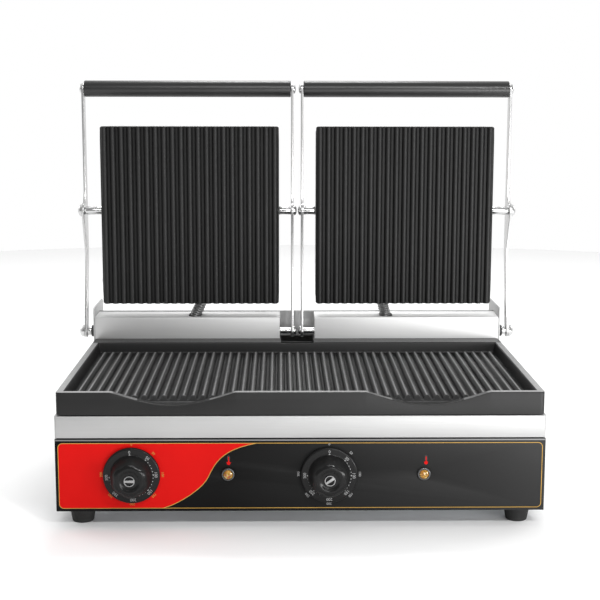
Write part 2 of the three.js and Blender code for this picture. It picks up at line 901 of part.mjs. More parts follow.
function hinge_bush(side) {
  const bore = shaft_radius + seat;
  const barrel = bore + bush_wall;
  const start = half_body + seat;
  const tail = ear_inner - seat;
  const profile = [
    [bore, tail],
    [barrel, tail],
    [barrel, start],
    [bush_flange_radius, start],
    [bush_flange_radius, start + bush_flange],
    [bore, start + bush_flange],
    [bore, tail],
  ];
  return turned_x(profile.map(([r, s]) => [r, side * s]), hinge_y, hinge_z, 14);
}

// Hinge shaft: domed ends hold both arms, the welded crank carries the spring pin
function hinge_shaft(side) {
  const inner_rim = arm_inner_x - seat;
  const outer_rim = arm_outer_end + seat;
  const collar_start = arm_outer_x - seat - collar_length;
  const profile = [
    ...dome(inner_dome_radius, -inner_rim, inner_dome_height).reverse().map(([r, s]) => [r, -s]),
    [inner_dome_radius, inner_rim],
    [shaft_neck, inner_rim],
    [shaft_neck, arm_inner_end + seat],
    [shaft_radius, arm_inner_end + seat],
    [shaft_radius, collar_start],
    [collar_radius, collar_start],
    [collar_radius, arm_outer_x - seat],
    [shaft_neck, arm_outer_x - seat],
    [shaft_neck, outer_rim],
    [hinge_dome_radius, outer_rim],
    ...dome(hinge_dome_radius, outer_rim, hinge_dome_height),
  ];
  const shaft = solid(turned_x(profile.map(([r, s]) => [r, side * s]), hinge_y, hinge_z, 14));
  const half = crank_width / 2;
  const lever = new THREE.Shape();
  lever.moveTo(hinge_y - half, crank_z);
  lever.absarc(hinge_y, crank_z, half, Math.PI, Math.PI * 2, false);
  lever.lineTo(hinge_y + half, hinge_z);
  lever.absarc(hinge_y, hinge_z, half + seat, 0, Math.PI, false);
  lever.closePath();
  const [x0, x1] = span(side, crank_x - crank_thickness / 2, crank_x + crank_thickness / 2);
  const [p0, p1] = span(side, crank_x, crank_x + pin_length);
  return shaft.add(bar_x(lever, x0, x1, 4)).add(rod_x(hinge_y, crank_z, pin_radius, p0, p1, 4));
}

// Extension spring: one wire with a hook round each pin and close curls between
function counter_spring(side) {
  const x = side * (crank_x + crank_thickness / 2 + (pin_length - crank_thickness / 2) / 2);
  const top = new THREE.Vector3(x, hinge_y, crank_z);
  const bottom = new THREE.Vector3(x, anchor_y, anchor_z);
  const down = bottom.clone().sub(top);
  const length = down.length();
  down.normalize();
  const across = new THREE.Vector3(1, 0, 0);
  const back = new THREE.Vector3().crossVectors(across, down);
  const at = (along, sideways, lateral) => top.clone()
    .add(down.clone().multiplyScalar(along))
    .add(back.clone().multiplyScalar(sideways))
    .add(across.clone().multiplyScalar(lateral));
  const hook = spring_hook_radius;
  const coil_start = spring_lead;
  const coil_end = length - spring_lead;
  const points = [];
  const hook_steps = 8;
  for (let i = 0; i <= hook_steps; i += 1) {
    const angle = -Math.PI / 2 + (Math.PI * 1.25 * i) / hook_steps;
    points.push(at(-hook * Math.cos(angle), hook * Math.sin(angle), 0));
  }
  const steps_per_turn = 8;
  const steps = spring_turns * steps_per_turn;
  for (let i = 0; i <= steps; i += 1) {
    const angle = (Math.PI * 2 * i) / steps_per_turn;
    const along = coil_start + ((coil_end - coil_start) * i) / steps;
    points.push(at(along, spring_radius * Math.cos(angle), spring_radius * Math.sin(angle)));
  }
  for (let i = 0; i <= hook_steps; i += 1) {
    const angle = Math.PI * 0.25 + (Math.PI * 1.25 * i) / hook_steps;
    points.push(at(length - hook * Math.cos(angle), hook * Math.sin(angle), 0));
  }
  const gap = least_gap(points, spring_wire, steps_per_turn / 2);
  console.log(`counter_spring ${side_names[(side + 1) / 2]}: least gap to itself ${gap.toFixed(2)}`);
  return ring_tube(points, () => spring_wire, 5);
}

// Anchor on the bottom pan for the lower hook
function spring_anchor(side) {
  const low = body_bottom + sheet + seat;
  const half = anchor_width / 2;
  const tab = new THREE.Shape();
  tab.moveTo(anchor_y - half, low);
  tab.lineTo(anchor_y + half, low);
  tab.lineTo(anchor_y + half, low + anchor_thickness);
  tab.lineTo(anchor_y + half / 2, anchor_z);
  tab.absarc(anchor_y, anchor_z, half / 2, 0, Math.PI, false);
  tab.lineTo(anchor_y - half, low + anchor_thickness);
  tab.closePath();
  const inner = crank_x - crank_thickness / 2;
  const [x0, x1] = span(side, inner, inner + anchor_thickness);
  const [p0, p1] = span(side, inner, crank_x + pin_length);
  const plate_foot = box(p0, p1, anchor_y - half, anchor_y + half, low, low + anchor_thickness);
  const pin = rod_x(anchor_y, anchor_z, pin_radius, p0, p1, 4);
  return bar_x(tab, x0, x1, 4).add(plate_foot).add(pin);
}

// Lid arm: eye at the hinge, slanted foot, forward lobe at the plate pivot, straight top
function arm_outline() {
  const front = hinge_y + arm_bar_front;
  const back = front + arm_bar_width;
  const bend_z = hinge_z + arm_taper_start;
  const shape = new THREE.Shape();
  shape.absarc(hinge_y, hinge_z, hinge_eye, Math.PI * 0.93, Math.PI * 1.96, false);
  shape.lineTo(back, bend_z);
  shape.lineTo(back, handle_z);
  shape.absarc(handle_y, handle_z, arm_bar_width / 2, 0, Math.PI, false);
  shape.lineTo(front, pivot_z + arm_lobe_rise);
  shape.absarc(hinge_y, pivot_z, pivot_eye, Math.PI * 0.3, Math.PI * 1.06, false);
  shape.lineTo(front, bend_z);
  shape.closePath();
  const holes = [
    [hinge_y, hinge_z, shaft_neck],
    [hinge_y, pivot_z, pivot_neck],
    [handle_y, handle_z, handle_neck],
  ];
  holes.forEach(([y, z, radius]) => {
    const hole = new THREE.Path();
    hole.absarc(y, z, radius + seat, 0, Math.PI * 2, true);
    shape.holes.push(hole);
  });
  return shape;
}

function arm(side, inner) {
  const [x0, x1] = span(side, inner, inner + arm_thickness);
  return bar_x(arm_outline(), x0, x1, 5);
}

function handle_grip(side) {
  const bore = handle_rod_radius + seat;
  const start = arm_inner_end + seat;
  const end = arm_outer_x - seat;
  const profile = [
    [bore, start],
    [handle_radius - handle_edge, start],
    [handle_radius, start + handle_edge],
    [handle_radius, end - handle_edge],
    [handle_radius - handle_edge, end],
    [bore, end],
    [bore, start],
  ];
  return turned_x(profile.map(([r, s]) => [r, side * s]), handle_y, handle_z, 20);
}

function handle_rod(side) {
  const inner_rim = arm_inner_x - seat;
  const outer_rim = arm_outer_end + seat;
  const profile = [
    ...dome(handle_dome_radius, -inner_rim, handle_dome_height).reverse().map(([r, s]) => [r, -s]),
    [handle_dome_radius, inner_rim],
    [handle_neck, inner_rim],
    [handle_neck, arm_inner_end + seat],
    [handle_rod_radius, arm_inner_end + seat],
    [handle_rod_radius, arm_outer_x - seat],
    [handle_neck, arm_outer_x - seat],
    [handle_neck, outer_rim],
    [handle_dome_radius, outer_rim],
    ...dome(handle_dome_radius, outer_rim, handle_dome_height),
  ];
  return turned_x(profile.map(([r, s]) => [r, side * s]), handle_y, handle_z, 12);
}

// Upper plate: ribs run the whole height, a rebate behind carries the casing skirt
function upper_plate(side) {
  const ribs = rib_profile(
    upper_rib_count, upper_width / upper_rib_count, upper_rib_width, upper_rib_height,
    -face_y - upper_rib_height, -face_y - upper_flange, upper_width / 2,
  );
  const outline = polygon(ribs.map(([u, v]) => [u + side * upper_mid_x, -v]));
  const front = bar_z(outline, upper_low, upper_high);
  const rebate = upper_rebate;
  const [x0, x1] = span(side, upper_inner_x + rebate, upper_outer_x - rebate);
  const step = rectangle(x0, upper_low + rebate, x1, upper_high - rebate, casing_corner);
  const back = bar_y(step, face_y + upper_flange - seat, face_y + upper_thickness, 3);
  const relief = casing_inset + casing_sheet + seat * 2 + pivot_nut_length + seat;
  const [outer0, outer1] = span(side, upper_outer_x - relief, upper_outer_x + overrun);
  const [inner0, inner1] = span(side, upper_inner_x - overrun, upper_inner_x + relief);
  const nut_room = pivot_nut_radius + seat;
  return front.add(back)
    .subtract(rod_x(hinge_y, pivot_z, nut_room, outer0, outer1, 8))
    .subtract(rod_x(hinge_y, pivot_z, nut_room, inner0, inner1, 8));
}

// The corners of a rounded rectangle as a ring of points, the same count for any size
function rounded_ring(u0, v0, u1, v1, corner) {
  const steps = 3;
  const centres = [
    [u1 - corner, v0 + corner],
    [u1 - corner, v1 - corner],
    [u0 + corner, v1 - corner],
    [u0 + corner, v0 + corner],
  ];
  const points = [];
  centres.forEach(([u, v], quarter) => {
    for (let k = 0; k <= steps; k += 1) {
      const angle = (Math.PI / 2) * (quarter - 1 + k / steps);
      points.push([u + corner * Math.cos(angle), v + corner * Math.sin(angle)]);
    }
  });
  return points;
}

// Casing: a shallow pressed box with chamfered edges behind each upper plate
function casing_block(side, shrink, front, back) {
  const [x0, x1] = span(side, casing_inner_x + shrink, casing_outer_x - shrink);
  const z0 = upper_low + casing_inset + shrink;
  const z1 = upper_high - casing_inset - shrink;
  const corner = casing_corner - shrink / 2;
  const chamfer = casing_chamfer;
  const rings = [[0, front], [0, back - chamfer], [chamfer, back]];
  const positions = [];
  const index = [];
  let count = 0;
  rings.forEach(([inset, y]) => {
    const points = rounded_ring(x0 + inset, z0 + inset, x1 - inset, z1 - inset, corner);
    count = points.length;
    points.forEach(([u, v]) => positions.push(u, y, v));
  });
  for (let ring = 0; ring + 1 < rings.length; ring += 1) {
    for (let k = 0; k < count; k += 1) {
      const a = ring * count + k;
      const b = ring * count + ((k + 1) % count);
      index.push(a, b, a + count, b, b + count, a + count);
    }
  }
  const last = (rings.length - 1) * count;
  for (let k = 1; k + 1 < count; k += 1) {
    index.push(0, k + 1, k);
    index.push(last, last + k, last + k + 1);
  }
  const geometry = new THREE.BufferGeometry();
  geometry.setAttribute('position', new THREE.Float32BufferAttribute(positions, 3));
  geometry.setIndex(index);
  return solid(geometry);
}

function upper_casing(side, conduit_x) {
  const outer = casing_block(side, 0, casing_front, casing_back);
  const hollow = casing_block(
    side, casing_sheet, casing_front - overrun, casing_back - casing_sheet,
  );
  const bolt_hole = rod_x(
    hinge_y, pivot_z, pivot_neck + seat, -upper_outer_x - overrun, upper_outer_x + overrun, 5,
  );
  const conduit_hole = rod_z(
    conduit_x, conduit_y, conduit_radius + seat,
    upper_low - overrun, upper_low + casing_inset + casing_sheet + overrun, 5,
  );
  return outer.subtract(hollow).subtract(bolt_hole).subtract(conduit_hole);
}

// Pivot bolts: domed head, neck in the arm, spacer tube, nut inside the casing wall
function pivot_bolt_outer(side) {
  const rim = arm_outer_end + seat;
  const profile = [
    [0, casing_outer_x - casing_sheet - seat - pivot_nut_length],
    [pivot_nut_radius, casing_outer_x - casing_sheet - seat - pivot_nut_length],
    [pivot_nut_radius, casing_outer_x - casing_sheet - seat],
    [pivot_neck, casing_outer_x - casing_sheet - seat],
    [pivot_neck, casing_outer_x + seat],
    [pivot_tube_radius, casing_outer_x + seat],
    [pivot_tube_radius, arm_outer_x - seat],
    [pivot_neck, arm_outer_x - seat],
    [pivot_neck, rim],
    [pivot_dome_radius, rim],
    ...dome(pivot_dome_radius, rim, pivot_dome_height),
  ];
  return turned_x(profile.map(([r, s]) => [r, side * s]), hinge_y, pivot_z, 12);
}

function pivot_bolt_inner(side) {
  const rim = arm_inner_x - seat;
  const wall = casing_inner_x + casing_sheet + seat;
  const profile = [
    ...dome(inner_dome_radius, -rim, inner_dome_height).reverse().map(([r, s]) => [r, -s]),
    [inner_dome_radius, rim],
    [pivot_neck, rim],
    [pivot_neck, arm_inner_end + seat],
    [pivot_tube_radius, arm_inner_end + seat],
    [pivot_tube_radius, casing_inner_x - seat],
    [pivot_neck, casing_inner_x - seat],
    [pivot_neck, wall],
    [pivot_nut_radius, wall],
    [pivot_nut_radius, wall + pivot_nut_length],
    [0, wall + pivot_nut_length],
  ];
  return turned_x(profile.map(([r, s]) => [r, side * s]), hinge_y, pivot_z, 12);
}

// Conduit: corrugated metal hose from the tray up through the cover slot to the casing
function conduit(slot_x, casing_x) {
  const low = tray_z - conduit_tail;
  const high = upper_low + casing_inset + casing_sheet + seat;
  const lean_start = cover_top - conduit_radius / 2;
  const lean_end = high - conduit_radius / 2;
  const count = Math.round((high - low) / conduit_rib_pitch);
  const centre = (z) => {
    const share = THREE.MathUtils.smoothstep(z, lean_start, lean_end);
    return new THREE.Vector3(THREE.MathUtils.lerp(slot_x, casing_x, share), conduit_y, z);
  };
  const outer_points = [];
  for (let i = 0; i <= count * 2; i += 1) {
    outer_points.push(centre(low + ((high - low) * i) / (count * 2)));
  }
  const outer = ring_tube(
    outer_points, (i) => conduit_radius - (i % 2 === 0 ? conduit_rib : 0), conduit_sides,
  );
  const bore_points = [];
  const bore_rings = Math.ceil(count / conduit_bore_every);
  const bore_low = low - overrun;
  const bore_high = high + overrun;
  for (let i = 0; i <= bore_rings; i += 1) {
    bore_points.push(centre(bore_low + ((bore_high - bore_low) * i) / bore_rings));
  }
  const bore = ring_tube(bore_points, () => conduit_bore, conduit_sides);
  return solid(outer).subtract(solid(bore));
}

// Knob: dial skirt and lobed grip in one moulding, socket behind for the spindle
function knob(x) {
  const back = -panel_clearance;
  const dial_front = back - dial_thickness;
  const skirt = turned_y([
    [0, back],
    [dial_radius, back],
    [dial_radius, dial_front + dial_edge],
    [dial_radius - dial_edge, dial_front],
    [0, dial_front],
  ], x, control_z, 32);
  const collar_front = dial_front - grip_collar_height;
  const rings = [
    [grip_collar_radius, dial_front + seat, 0],
    [grip_collar_radius, collar_front, 0],
    [grip_radius_back, collar_front, 1],
    [grip_radius_front, dial_front - grip_length * grip_round_share, 1],
    [grip_radius_front * grip_round_share, dial_front - grip_length, 1 / 2],
  ];
  const corner_count = grip_lobes * grip_lobe_corners;
  const positions = [];
  const index = [];
  rings.forEach(([radius, y, depth]) => {
    for (let k = 0; k < corner_count; k += 1) {
      const angle = (Math.PI * 2 * k) / corner_count;
      const lobe = 1 + grip_lobe_share * depth * Math.cos(grip_lobes * angle);
      positions.push(
        x + radius * lobe * Math.sin(angle), y, control_z + radius * lobe * Math.cos(angle),
      );
    }
  });
  for (let ring = 0; ring + 1 < rings.length; ring += 1) {
    for (let k = 0; k < corner_count; k += 1) {
      const a = ring * corner_count + k;
      const b = ring * corner_count + ((k + 1) % corner_count);
      index.push(a, b, a + corner_count, b, b + corner_count, a + corner_count);
    }
  }
  const last = (rings.length - 1) * corner_count;
  const middle = rings.length * corner_count;
  positions.push(x, rings[0][1], control_z, x, rings[rings.length - 1][1], control_z);
  for (let k = 0; k < corner_count; k += 1) {
    const next = (k + 1) % corner_count;
    index.push(middle, next, k);
    index.push(middle + 1, last + k, last + next);
  }
  const grip = new THREE.BufferGeometry();
  grip.setAttribute('position', new THREE.Float32BufferAttribute(positions, 3));
  grip.setIndex(index);
  const front = dial_front - grip_length;
  const recess_end = front + insert_depth;
  const recess = rod_y(x, control_z, insert_radius + seat, front - overrun, recess_end, 6);
  const socket_end = back - spindle_depth;
  const socket = rod_y(x, control_z, spindle_radius + seat, socket_end, back + overrun, 5);
  return solid(skirt).add(solid(grip)).subtract(recess).subtract(socket);
}

// Centre insert: a small disc with a raised ring and a cross bar
function knob_insert(x) {
  const front = -panel_clearance - dial_thickness - grip_length;
  const back = front + insert_depth - seat;
  const face = front - insert_stand;
  const plate = rod_y(x, control_z, insert_radius, face, back, 6);
  const inner = insert_radius - insert_ring;
  const recess = rod_y(x, control_z, inner, face - overrun, face + insert_groove, 6);
  const bar_half = insert_bar / 2;
  const bar = bar_y(
    rectangle(x - inner, control_z - bar_half, x + inner, control_z + bar_half),
    face, face + insert_groove + seat,
  );
  return plate.subtract(recess).add(bar);
}

function knob_spindle(x) {
  const tip = -panel_clearance - spindle_depth + seat;
  const end = sheet + seat + thermostat_boss;
  return turned_y([
    [0, tip],
    [spindle_radius, tip],
    [spindle_radius, end],
    [0, end],
  ], x, control_z, 12);
}

// Thermostat: threaded boss behind the panel, round body with flats
function thermostat(x) {
  const start = sheet + seat;
  const boss_end = start + thermostat_boss;
  const body = turned_y([
    [spindle_radius + seat, start],
    [thermostat_boss_radius, start],
    [thermostat_boss_radius, boss_end],
    [thermostat_radius, boss_end],
    [thermostat_radius, boss_end + thermostat_length],
    [0, boss_end + thermostat_length],
    [0, boss_end + seat],
    [spindle_radius + seat, boss_end + seat],
    [spindle_radius + seat, start],
  ], x, control_z, 16);
  const trim = box(
    x - thermostat_flat, x + thermostat_flat,
    start - overrun, boss_end + thermostat_length + overrun,
    control_z - thermostat_radius - overrun, control_z + thermostat_radius + overrun,
  );
  return solid(body).intersect(trim);
}

// Indicator lamp: bezel with a barrel through the panel, and a faceted lens
function lamp_bezel(x) {
  const lens_seat = lens_radius + seat;
  return turned_y([
    [lens_seat, -seat - bezel_thickness],
    [bezel_radius - bezel_thickness / 4, -seat - bezel_thickness],
    [bezel_radius, -seat - bezel_thickness / 2],
    [bezel_radius, -seat],
    [bezel_barrel, -seat],
    [bezel_barrel, bezel_barrel_length],
    [0, bezel_barrel_length],
    [0, sheet],
    [lens_seat, sheet],
    [lens_seat, -seat - bezel_thickness],
  ], x, control_z, 16);
}

function lamp_lens(x) {
  const back = sheet - seat;
  const front = -seat - lens_height;
  return turned_y([
    [0, back],
    [lens_radius, back],
    [lens_radius, -seat - bezel_thickness],
    [lens_facet_radius, front + lens_facet_drop],
    [0, front],
  ], x, control_z, lens_facets);
}

// Cable gland at the rear: thread through the wall, hex body, tapered nose, open bore
function cable_gland() {
  const wall = body_depth + seat;
  const z = body_top - gland_drop;
  const thread = turned_y([
    [gland_bore, body_depth - sheet - panel_return / 2],
    [gland_thread, body_depth - sheet - panel_return / 2],
    [gland_thread, wall],
    [gland_radius, wall],
    [gland_radius, wall + gland_hex_length],
    [gland_waist_radius, wall + gland_hex_length + gland_nose / 2],
    [gland_nose_radius, wall + gland_hex_length + gland_nose],
    [gland_bore, wall + gland_hex_length + gland_nose],
    [gland_bore, body_depth - sheet - panel_return / 2],
  ], gland_x, z, 14);
  const hex = turned_y([
    [gland_core_radius, wall],
    [gland_hex_radius, wall],
    [gland_hex_radius, wall + gland_hex_length],
    [gland_core_radius, wall + gland_hex_length],
    [gland_core_radius, wall],
  ], gland_x, z, 6);
  return solid(thread).add(solid(hex));
}

// Assembly of the base
place(base, 'body_shell', body_shell(), stainless);
place(base, 'front_panel', front_panel(), black_paint);
place(base, 'bottom_pan', bottom_pan(), zinc_steel);
place(base, 'lower_plate', lower_plate(), cast_iron);
place(base, 'hinge_tray', hinge_tray(), stainless);
place(base, 'cable_gland', cable_gland(), nylon);
const foot_rows = [['front', foot_inset_y], ['rear', body_depth - foot_inset_y]];
foot_rows.forEach(([row, y]) => {
  halves.forEach(([side, name]) => {
    place(base, `foot_${row}_${name}`, foot(side * (half_body - foot_inset_x), y), black_rubber);
  });
});
halves.forEach(([side, name], i) => {
  place(base, `lower_heater_${name}`, lower_heater(side), element_steel);
  place(base, `hinge_cover_${name}`, hinge_cover(side, conduit_slot_places[i]), stainless);
  place(base, `hinge_bracket_${name}`, hinge_bracket(side), zinc_steel);
  place(base, `hinge_bush_${name}`, hinge_bush(side), nylon);
  place(base, `spring_anchor_${name}`, spring_anchor(side), zinc_steel);
  place(base, `counter_spring_${name}`, counter_spring(side), bright_steel);
  const hose = conduit(conduit_slot_places[i], conduit_casing_places[i]);
  place(base, `conduit_${name}`, hose, zinc_steel);
});

// Assembly of the controls
side_names.forEach((name, i) => {
  place(controls, `knob_${name}`, knob(knob_places[i]), black_moulding);
  place(controls, `knob_insert_${name}`, knob_insert(knob_places[i]), chrome);
  place(controls, `knob_spindle_${name}`, knob_spindle(knob_places[i]), brass);
  place(controls, `thermostat_${name}`, thermostat(knob_places[i]), steatite);
  place(controls, `lamp_bezel_${name}`, lamp_bezel(lamp_places[i]), chrome);
  place(controls, `lamp_lens_${name}`, lamp_lens(lamp_places[i]), amber);
});

// Assembly of the two lids
halves.forEach(([side, name], i) => {
  const lid = new THREE.Group();
  place(lid, `arm_outer_${name}`, arm(side, arm_outer_x), bright_steel);
  place(lid, `arm_inner_${name}`, arm(side, arm_inner_x), bright_steel);
  place(lid, `hinge_shaft_${name}`, hinge_shaft(side), bright_steel);
  place(lid, `handle_grip_${name}`, handle_grip(side), black_grip);
  place(lid, `handle_rod_${name}`, handle_rod(side), bright_steel);
  place(lid, `upper_plate_${name}`, upper_plate(side), cast_iron);
  place(lid, `upper_casing_${name}`, upper_casing(side, conduit_casing_places[i]), stainless);
  place(lid, `upper_heater_${name}`, upper_heater(side), element_steel);
  place(lid, `pivot_bolt_outer_${name}`, pivot_bolt_outer(side), bright_steel);
  place(lid, `pivot_bolt_inner_${name}`, pivot_bolt_inner(side), bright_steel);
  grill.add(lid);
});

// The origin is under the middle of the whole grill, on the worktop
const whole = new THREE.Box3().setFromObject(grill);
grill.position.set(
  -(whole.min.x + whole.max.x) / 2,
  -(whole.min.y + whole.max.y) / 2,
  -whole.min.z,
);

export default grill;
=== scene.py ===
"""Looks of a double contact grill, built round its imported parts. Metres, +Z up, front -Y."""

import math

import bmesh
import bpy
import numpy as np
from mathutils import Matrix, Vector


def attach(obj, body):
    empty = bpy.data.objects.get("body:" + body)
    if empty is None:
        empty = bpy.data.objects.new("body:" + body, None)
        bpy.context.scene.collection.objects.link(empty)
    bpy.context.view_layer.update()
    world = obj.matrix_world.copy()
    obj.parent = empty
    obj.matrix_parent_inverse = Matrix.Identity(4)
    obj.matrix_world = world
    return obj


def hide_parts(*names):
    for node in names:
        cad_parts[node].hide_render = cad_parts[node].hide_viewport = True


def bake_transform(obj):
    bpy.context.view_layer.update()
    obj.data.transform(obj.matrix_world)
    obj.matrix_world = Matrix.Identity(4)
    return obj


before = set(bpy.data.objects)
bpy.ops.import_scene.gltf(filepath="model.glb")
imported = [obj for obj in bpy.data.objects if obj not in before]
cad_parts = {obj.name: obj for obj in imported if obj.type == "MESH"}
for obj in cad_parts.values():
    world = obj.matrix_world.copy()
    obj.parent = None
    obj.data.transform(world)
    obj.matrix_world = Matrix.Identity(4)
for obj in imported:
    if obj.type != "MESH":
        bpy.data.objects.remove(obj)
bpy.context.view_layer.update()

# Camera of the photograph, solved from the castings and the base, in metres and degrees
FOCAL_LENGTH, SENSOR_WIDTH = 77.724, 36
CLIP_NEAR, CLIP_FAR = 0.05, 60
CAMERA_PLACE = (-0.02097, -1.45647, 0.44157)
CAMERA_YAW, CAMERA_DOWN, CAMERA_ROLL = -0.8925, 9.1377, 0.0964

# Sizes that the parts have too, in millimetres, with the front face at Y = 0
PER_METRE = 1000
SEAT, FRONT = 0.3, 181.4
FOOT_HEIGHT, PANEL_TOP = 18, 93.8
HALF_BODY, BODY_DEPTH = 249.4, 368
HALF_PLATE, PLATE_DEPTH = 247.5, 289.9
PLATE_LOW, GUTTER, FLOOR, RIM = 118.9, 128.6, 130.2, 142.2
RIM_FRONT, RIM_REAR = 8, 27.4
RIB_PITCH, RIB_WIDTH, RIB_HEIGHT, RIB_COUNT = 10, 7.2, 4, 47
RIB_START, RIB_END = 18, 250
COVER_TOP = 168.8
HINGE_Y, HINGE_Z, PIVOT_Z = 297, 150.5, 298.9
HANDLE_Y, HANDLE_Z = 316.5, 444.7
UPPER_X, UPPER_WIDTH = 22.1, 214
UPPER_LOW, UPPER_HIGH = 186.4, 400.4
UPPER_RIB_WIDTH, UPPER_RIB_HEIGHT, UPPER_RIB_COUNT = 7.0, 3.6, 21
FACE_Y = 281.4
ARM_OUT, ARM_IN, ARM_THICK = 257.5, 4.5, 3
SHAFT, NECK, PIVOT_NECK = 4, 3, 4
CRANK_X, CRANK_Z, CRANK_THICK = 75, 131.0, 5
PIN_RADIUS, PIN_LENGTH = 2.5, 9
CONTROL_Z = 56.8
KNOB_X = {"left": -171.8, "right": 29.0}
LAMP_X = {"left": -74.0, "right": 125.8}
SIDES = (("left", -1), ("right", 1))

# Places that follow: the plates, and both faces of each arm with their clearance
HALF_UPPER = UPPER_WIDTH / 2
UPPER_MID = UPPER_X + HALF_UPPER
UPPER_END = UPPER_X + UPPER_WIDTH
IN_NEAR, IN_FAR = ARM_IN - SEAT, ARM_IN + ARM_THICK + SEAT
OUT_NEAR, OUT_FAR = ARM_OUT - SEAT, ARM_OUT + ARM_THICK + SEAT


def linked(name, data):
    thing = bpy.data.objects.new(name, data)
    bpy.context.scene.collection.objects.link(thing)
    return thing


camera_data = bpy.data.cameras.new("camera")
camera_data.lens = FOCAL_LENGTH
camera_data.sensor_width = SENSOR_WIDTH
camera_data.clip_start = CLIP_NEAR
camera_data.clip_end = CLIP_FAR
camera = linked("camera", camera_data)
turn = (
    Matrix.Rotation(math.radians(CAMERA_YAW), 4, "Z")
    @ Matrix.Rotation(math.radians(90 - CAMERA_DOWN), 4, "X")
    @ Matrix.Rotation(math.radians(CAMERA_ROLL), 4, "Z")
)
camera.matrix_world = Matrix.Translation(CAMERA_PLACE) @ turn
bpy.context.scene.camera = camera


# Mesh helpers


def shifted(points):
    """Source millimetres to metres of the frame."""
    moved = np.array(points, float).reshape(-1, 3)
    moved[:, 1] -= FRONT
    return moved / PER_METRE


def dress(piece, body, look, replaced=(), sharp=32):
    """Shades a piece, gives it its material, and hangs it on its body."""
    mesh = piece.data
    mesh.polygons.foreach_set("use_smooth", [sharp > 0] * len(mesh.polygons))
    if sharp > 0:
        mesh.set_sharp_from_angle(angle=math.radians(sharp))
    mesh.materials.clear()
    mesh.materials.append(look)
    if body:
        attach(piece, body)
    if replaced:
        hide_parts(*replaced)
    return piece


def make(name, points, faces, body, slot, look, replaced=(), sharp=32):
    """A new piece from points in source millimetres."""
    mesh = bpy.data.meshes.new(name)
    mesh.from_pydata(shifted(points).tolist(), [], [list(map(int, f)) for f in faces])
    cleaned = bmesh.new()
    cleaned.from_mesh(mesh)
    bmesh.ops.remove_doubles(cleaned, verts=cleaned.verts, dist=1e-6)
    bmesh.ops.dissolve_degenerate(cleaned, edges=cleaned.edges, dist=1e-7)
    bmesh.ops.recalc_face_normals(cleaned, faces=cleaned.faces)
    cleaned.to_mesh(mesh)
    cleaned.free()
    return dress(linked(name, mesh), body, look, replaced, sharp)


class Pile:
    """Several closed forms gathered in one piece."""

    def __init__(self):
        self.points, self.faces = [], []

    def add(self, points, faces):
        start = len(self.points)
        self.points.extend(tuple(map(float, p)) for p in points)
        self.faces.extend([start + int(i) for i in face] for face in faces)
        return self

    def make(self, name, body, slot, look, replaced=(), sharp=32):
        return make(name, self.points, self.faces, body, slot, look, replaced, sharp)


def soft(profile, radius, steps=4, most=0.45):
    """A profile with its inner corners rounded, by a share of their sides at most."""
    points = [np.array(p, float) for p in profile]
    out = [points[0]]
    for before, here, after in zip(points, points[1:], points[2:]):
        back, on = before - here, after - here
        reach = min(radius, most * np.linalg.norm(back), most * np.linalg.norm(on))
        if reach < 1e-4:
            out.append(here)
            continue
        start = here + back / np.linalg.norm(back) * reach
        end = here + on / np.linalg.norm(on) * reach
        for k in range(steps + 1):
            t = k / steps
            out.append((1 - t) ** 2 * start + 2 * t * (1 - t) * here + t * t * end)
    out.append(points[-1])
    return out


def stretch(inner, outer, start, end, last=None):
    """Corners of a thicker stretch: out at its start, and in again at its end."""
    return [(inner, start), (outer, start), (outer, end), (inner if last is None else last, end)]


def lathe(profile, centre, axis, segments=48, lobes=0, flute_power=1.8):
    """A profile of (radius, place, lobe share) turned round an axis through centre."""
    first, second, along = {"x": (1, 2, 0), "y": (0, 2, 1), "z": (0, 1, 2)}[axis]
    points, rings, faces = [], [], []
    for entry in profile:
        radius, place, share = (*entry, 0)[:3]
        count = 1 if radius < 1e-6 else segments
        rings.append(list(range(len(points), len(points) + count)))
        for k in range(count):
            angle = 2 * math.pi * k / segments
            flute = ((1 - math.cos(lobes * angle)) / 2) ** flute_power
            reach = radius * (1 + share * (1 - 2 * flute))
            point = [0.0, 0.0, 0.0]
            point[first] = centre[0] + reach * math.sin(angle)
            point[second] = centre[1] + reach * math.cos(angle)
            point[along] = place
            points.append(point)
    for one, two in zip(rings, rings[1:]):
        for k in range(segments):
            n = (k + 1) % segments
            face = (one[k % len(one)], one[n % len(one)], two[n % len(two)], two[k % len(two)])
            if len(set(face)) > 2:
                faces.append(tuple(dict.fromkeys(face)))
    return points, faces


def bar(profile, side, y, z, segments=48):
    """A profile of (radius, distance from the middle) turned round an axis along X."""
    return lathe([(radius, side * x) for radius, x in profile], (y, z), "x", segments)


def dome(radius, place, height, steps=12, power=2.3):
    """A domed end from its rim towards its tip."""
    rows = []
    for k in range(steps + 1):
        t = math.sin(math.pi / 2 * k / steps)
        share = (1 - t ** power) ** (1 / power) if k < steps else 0
        rows.append((radius * share, place + height * t))
    return rows


def inner_dome(radius, place, height):
    """A domed end that points to the middle, from tip to rim."""
    return [(r, -x) for r, x in reversed(dome(radius, -place, height))]


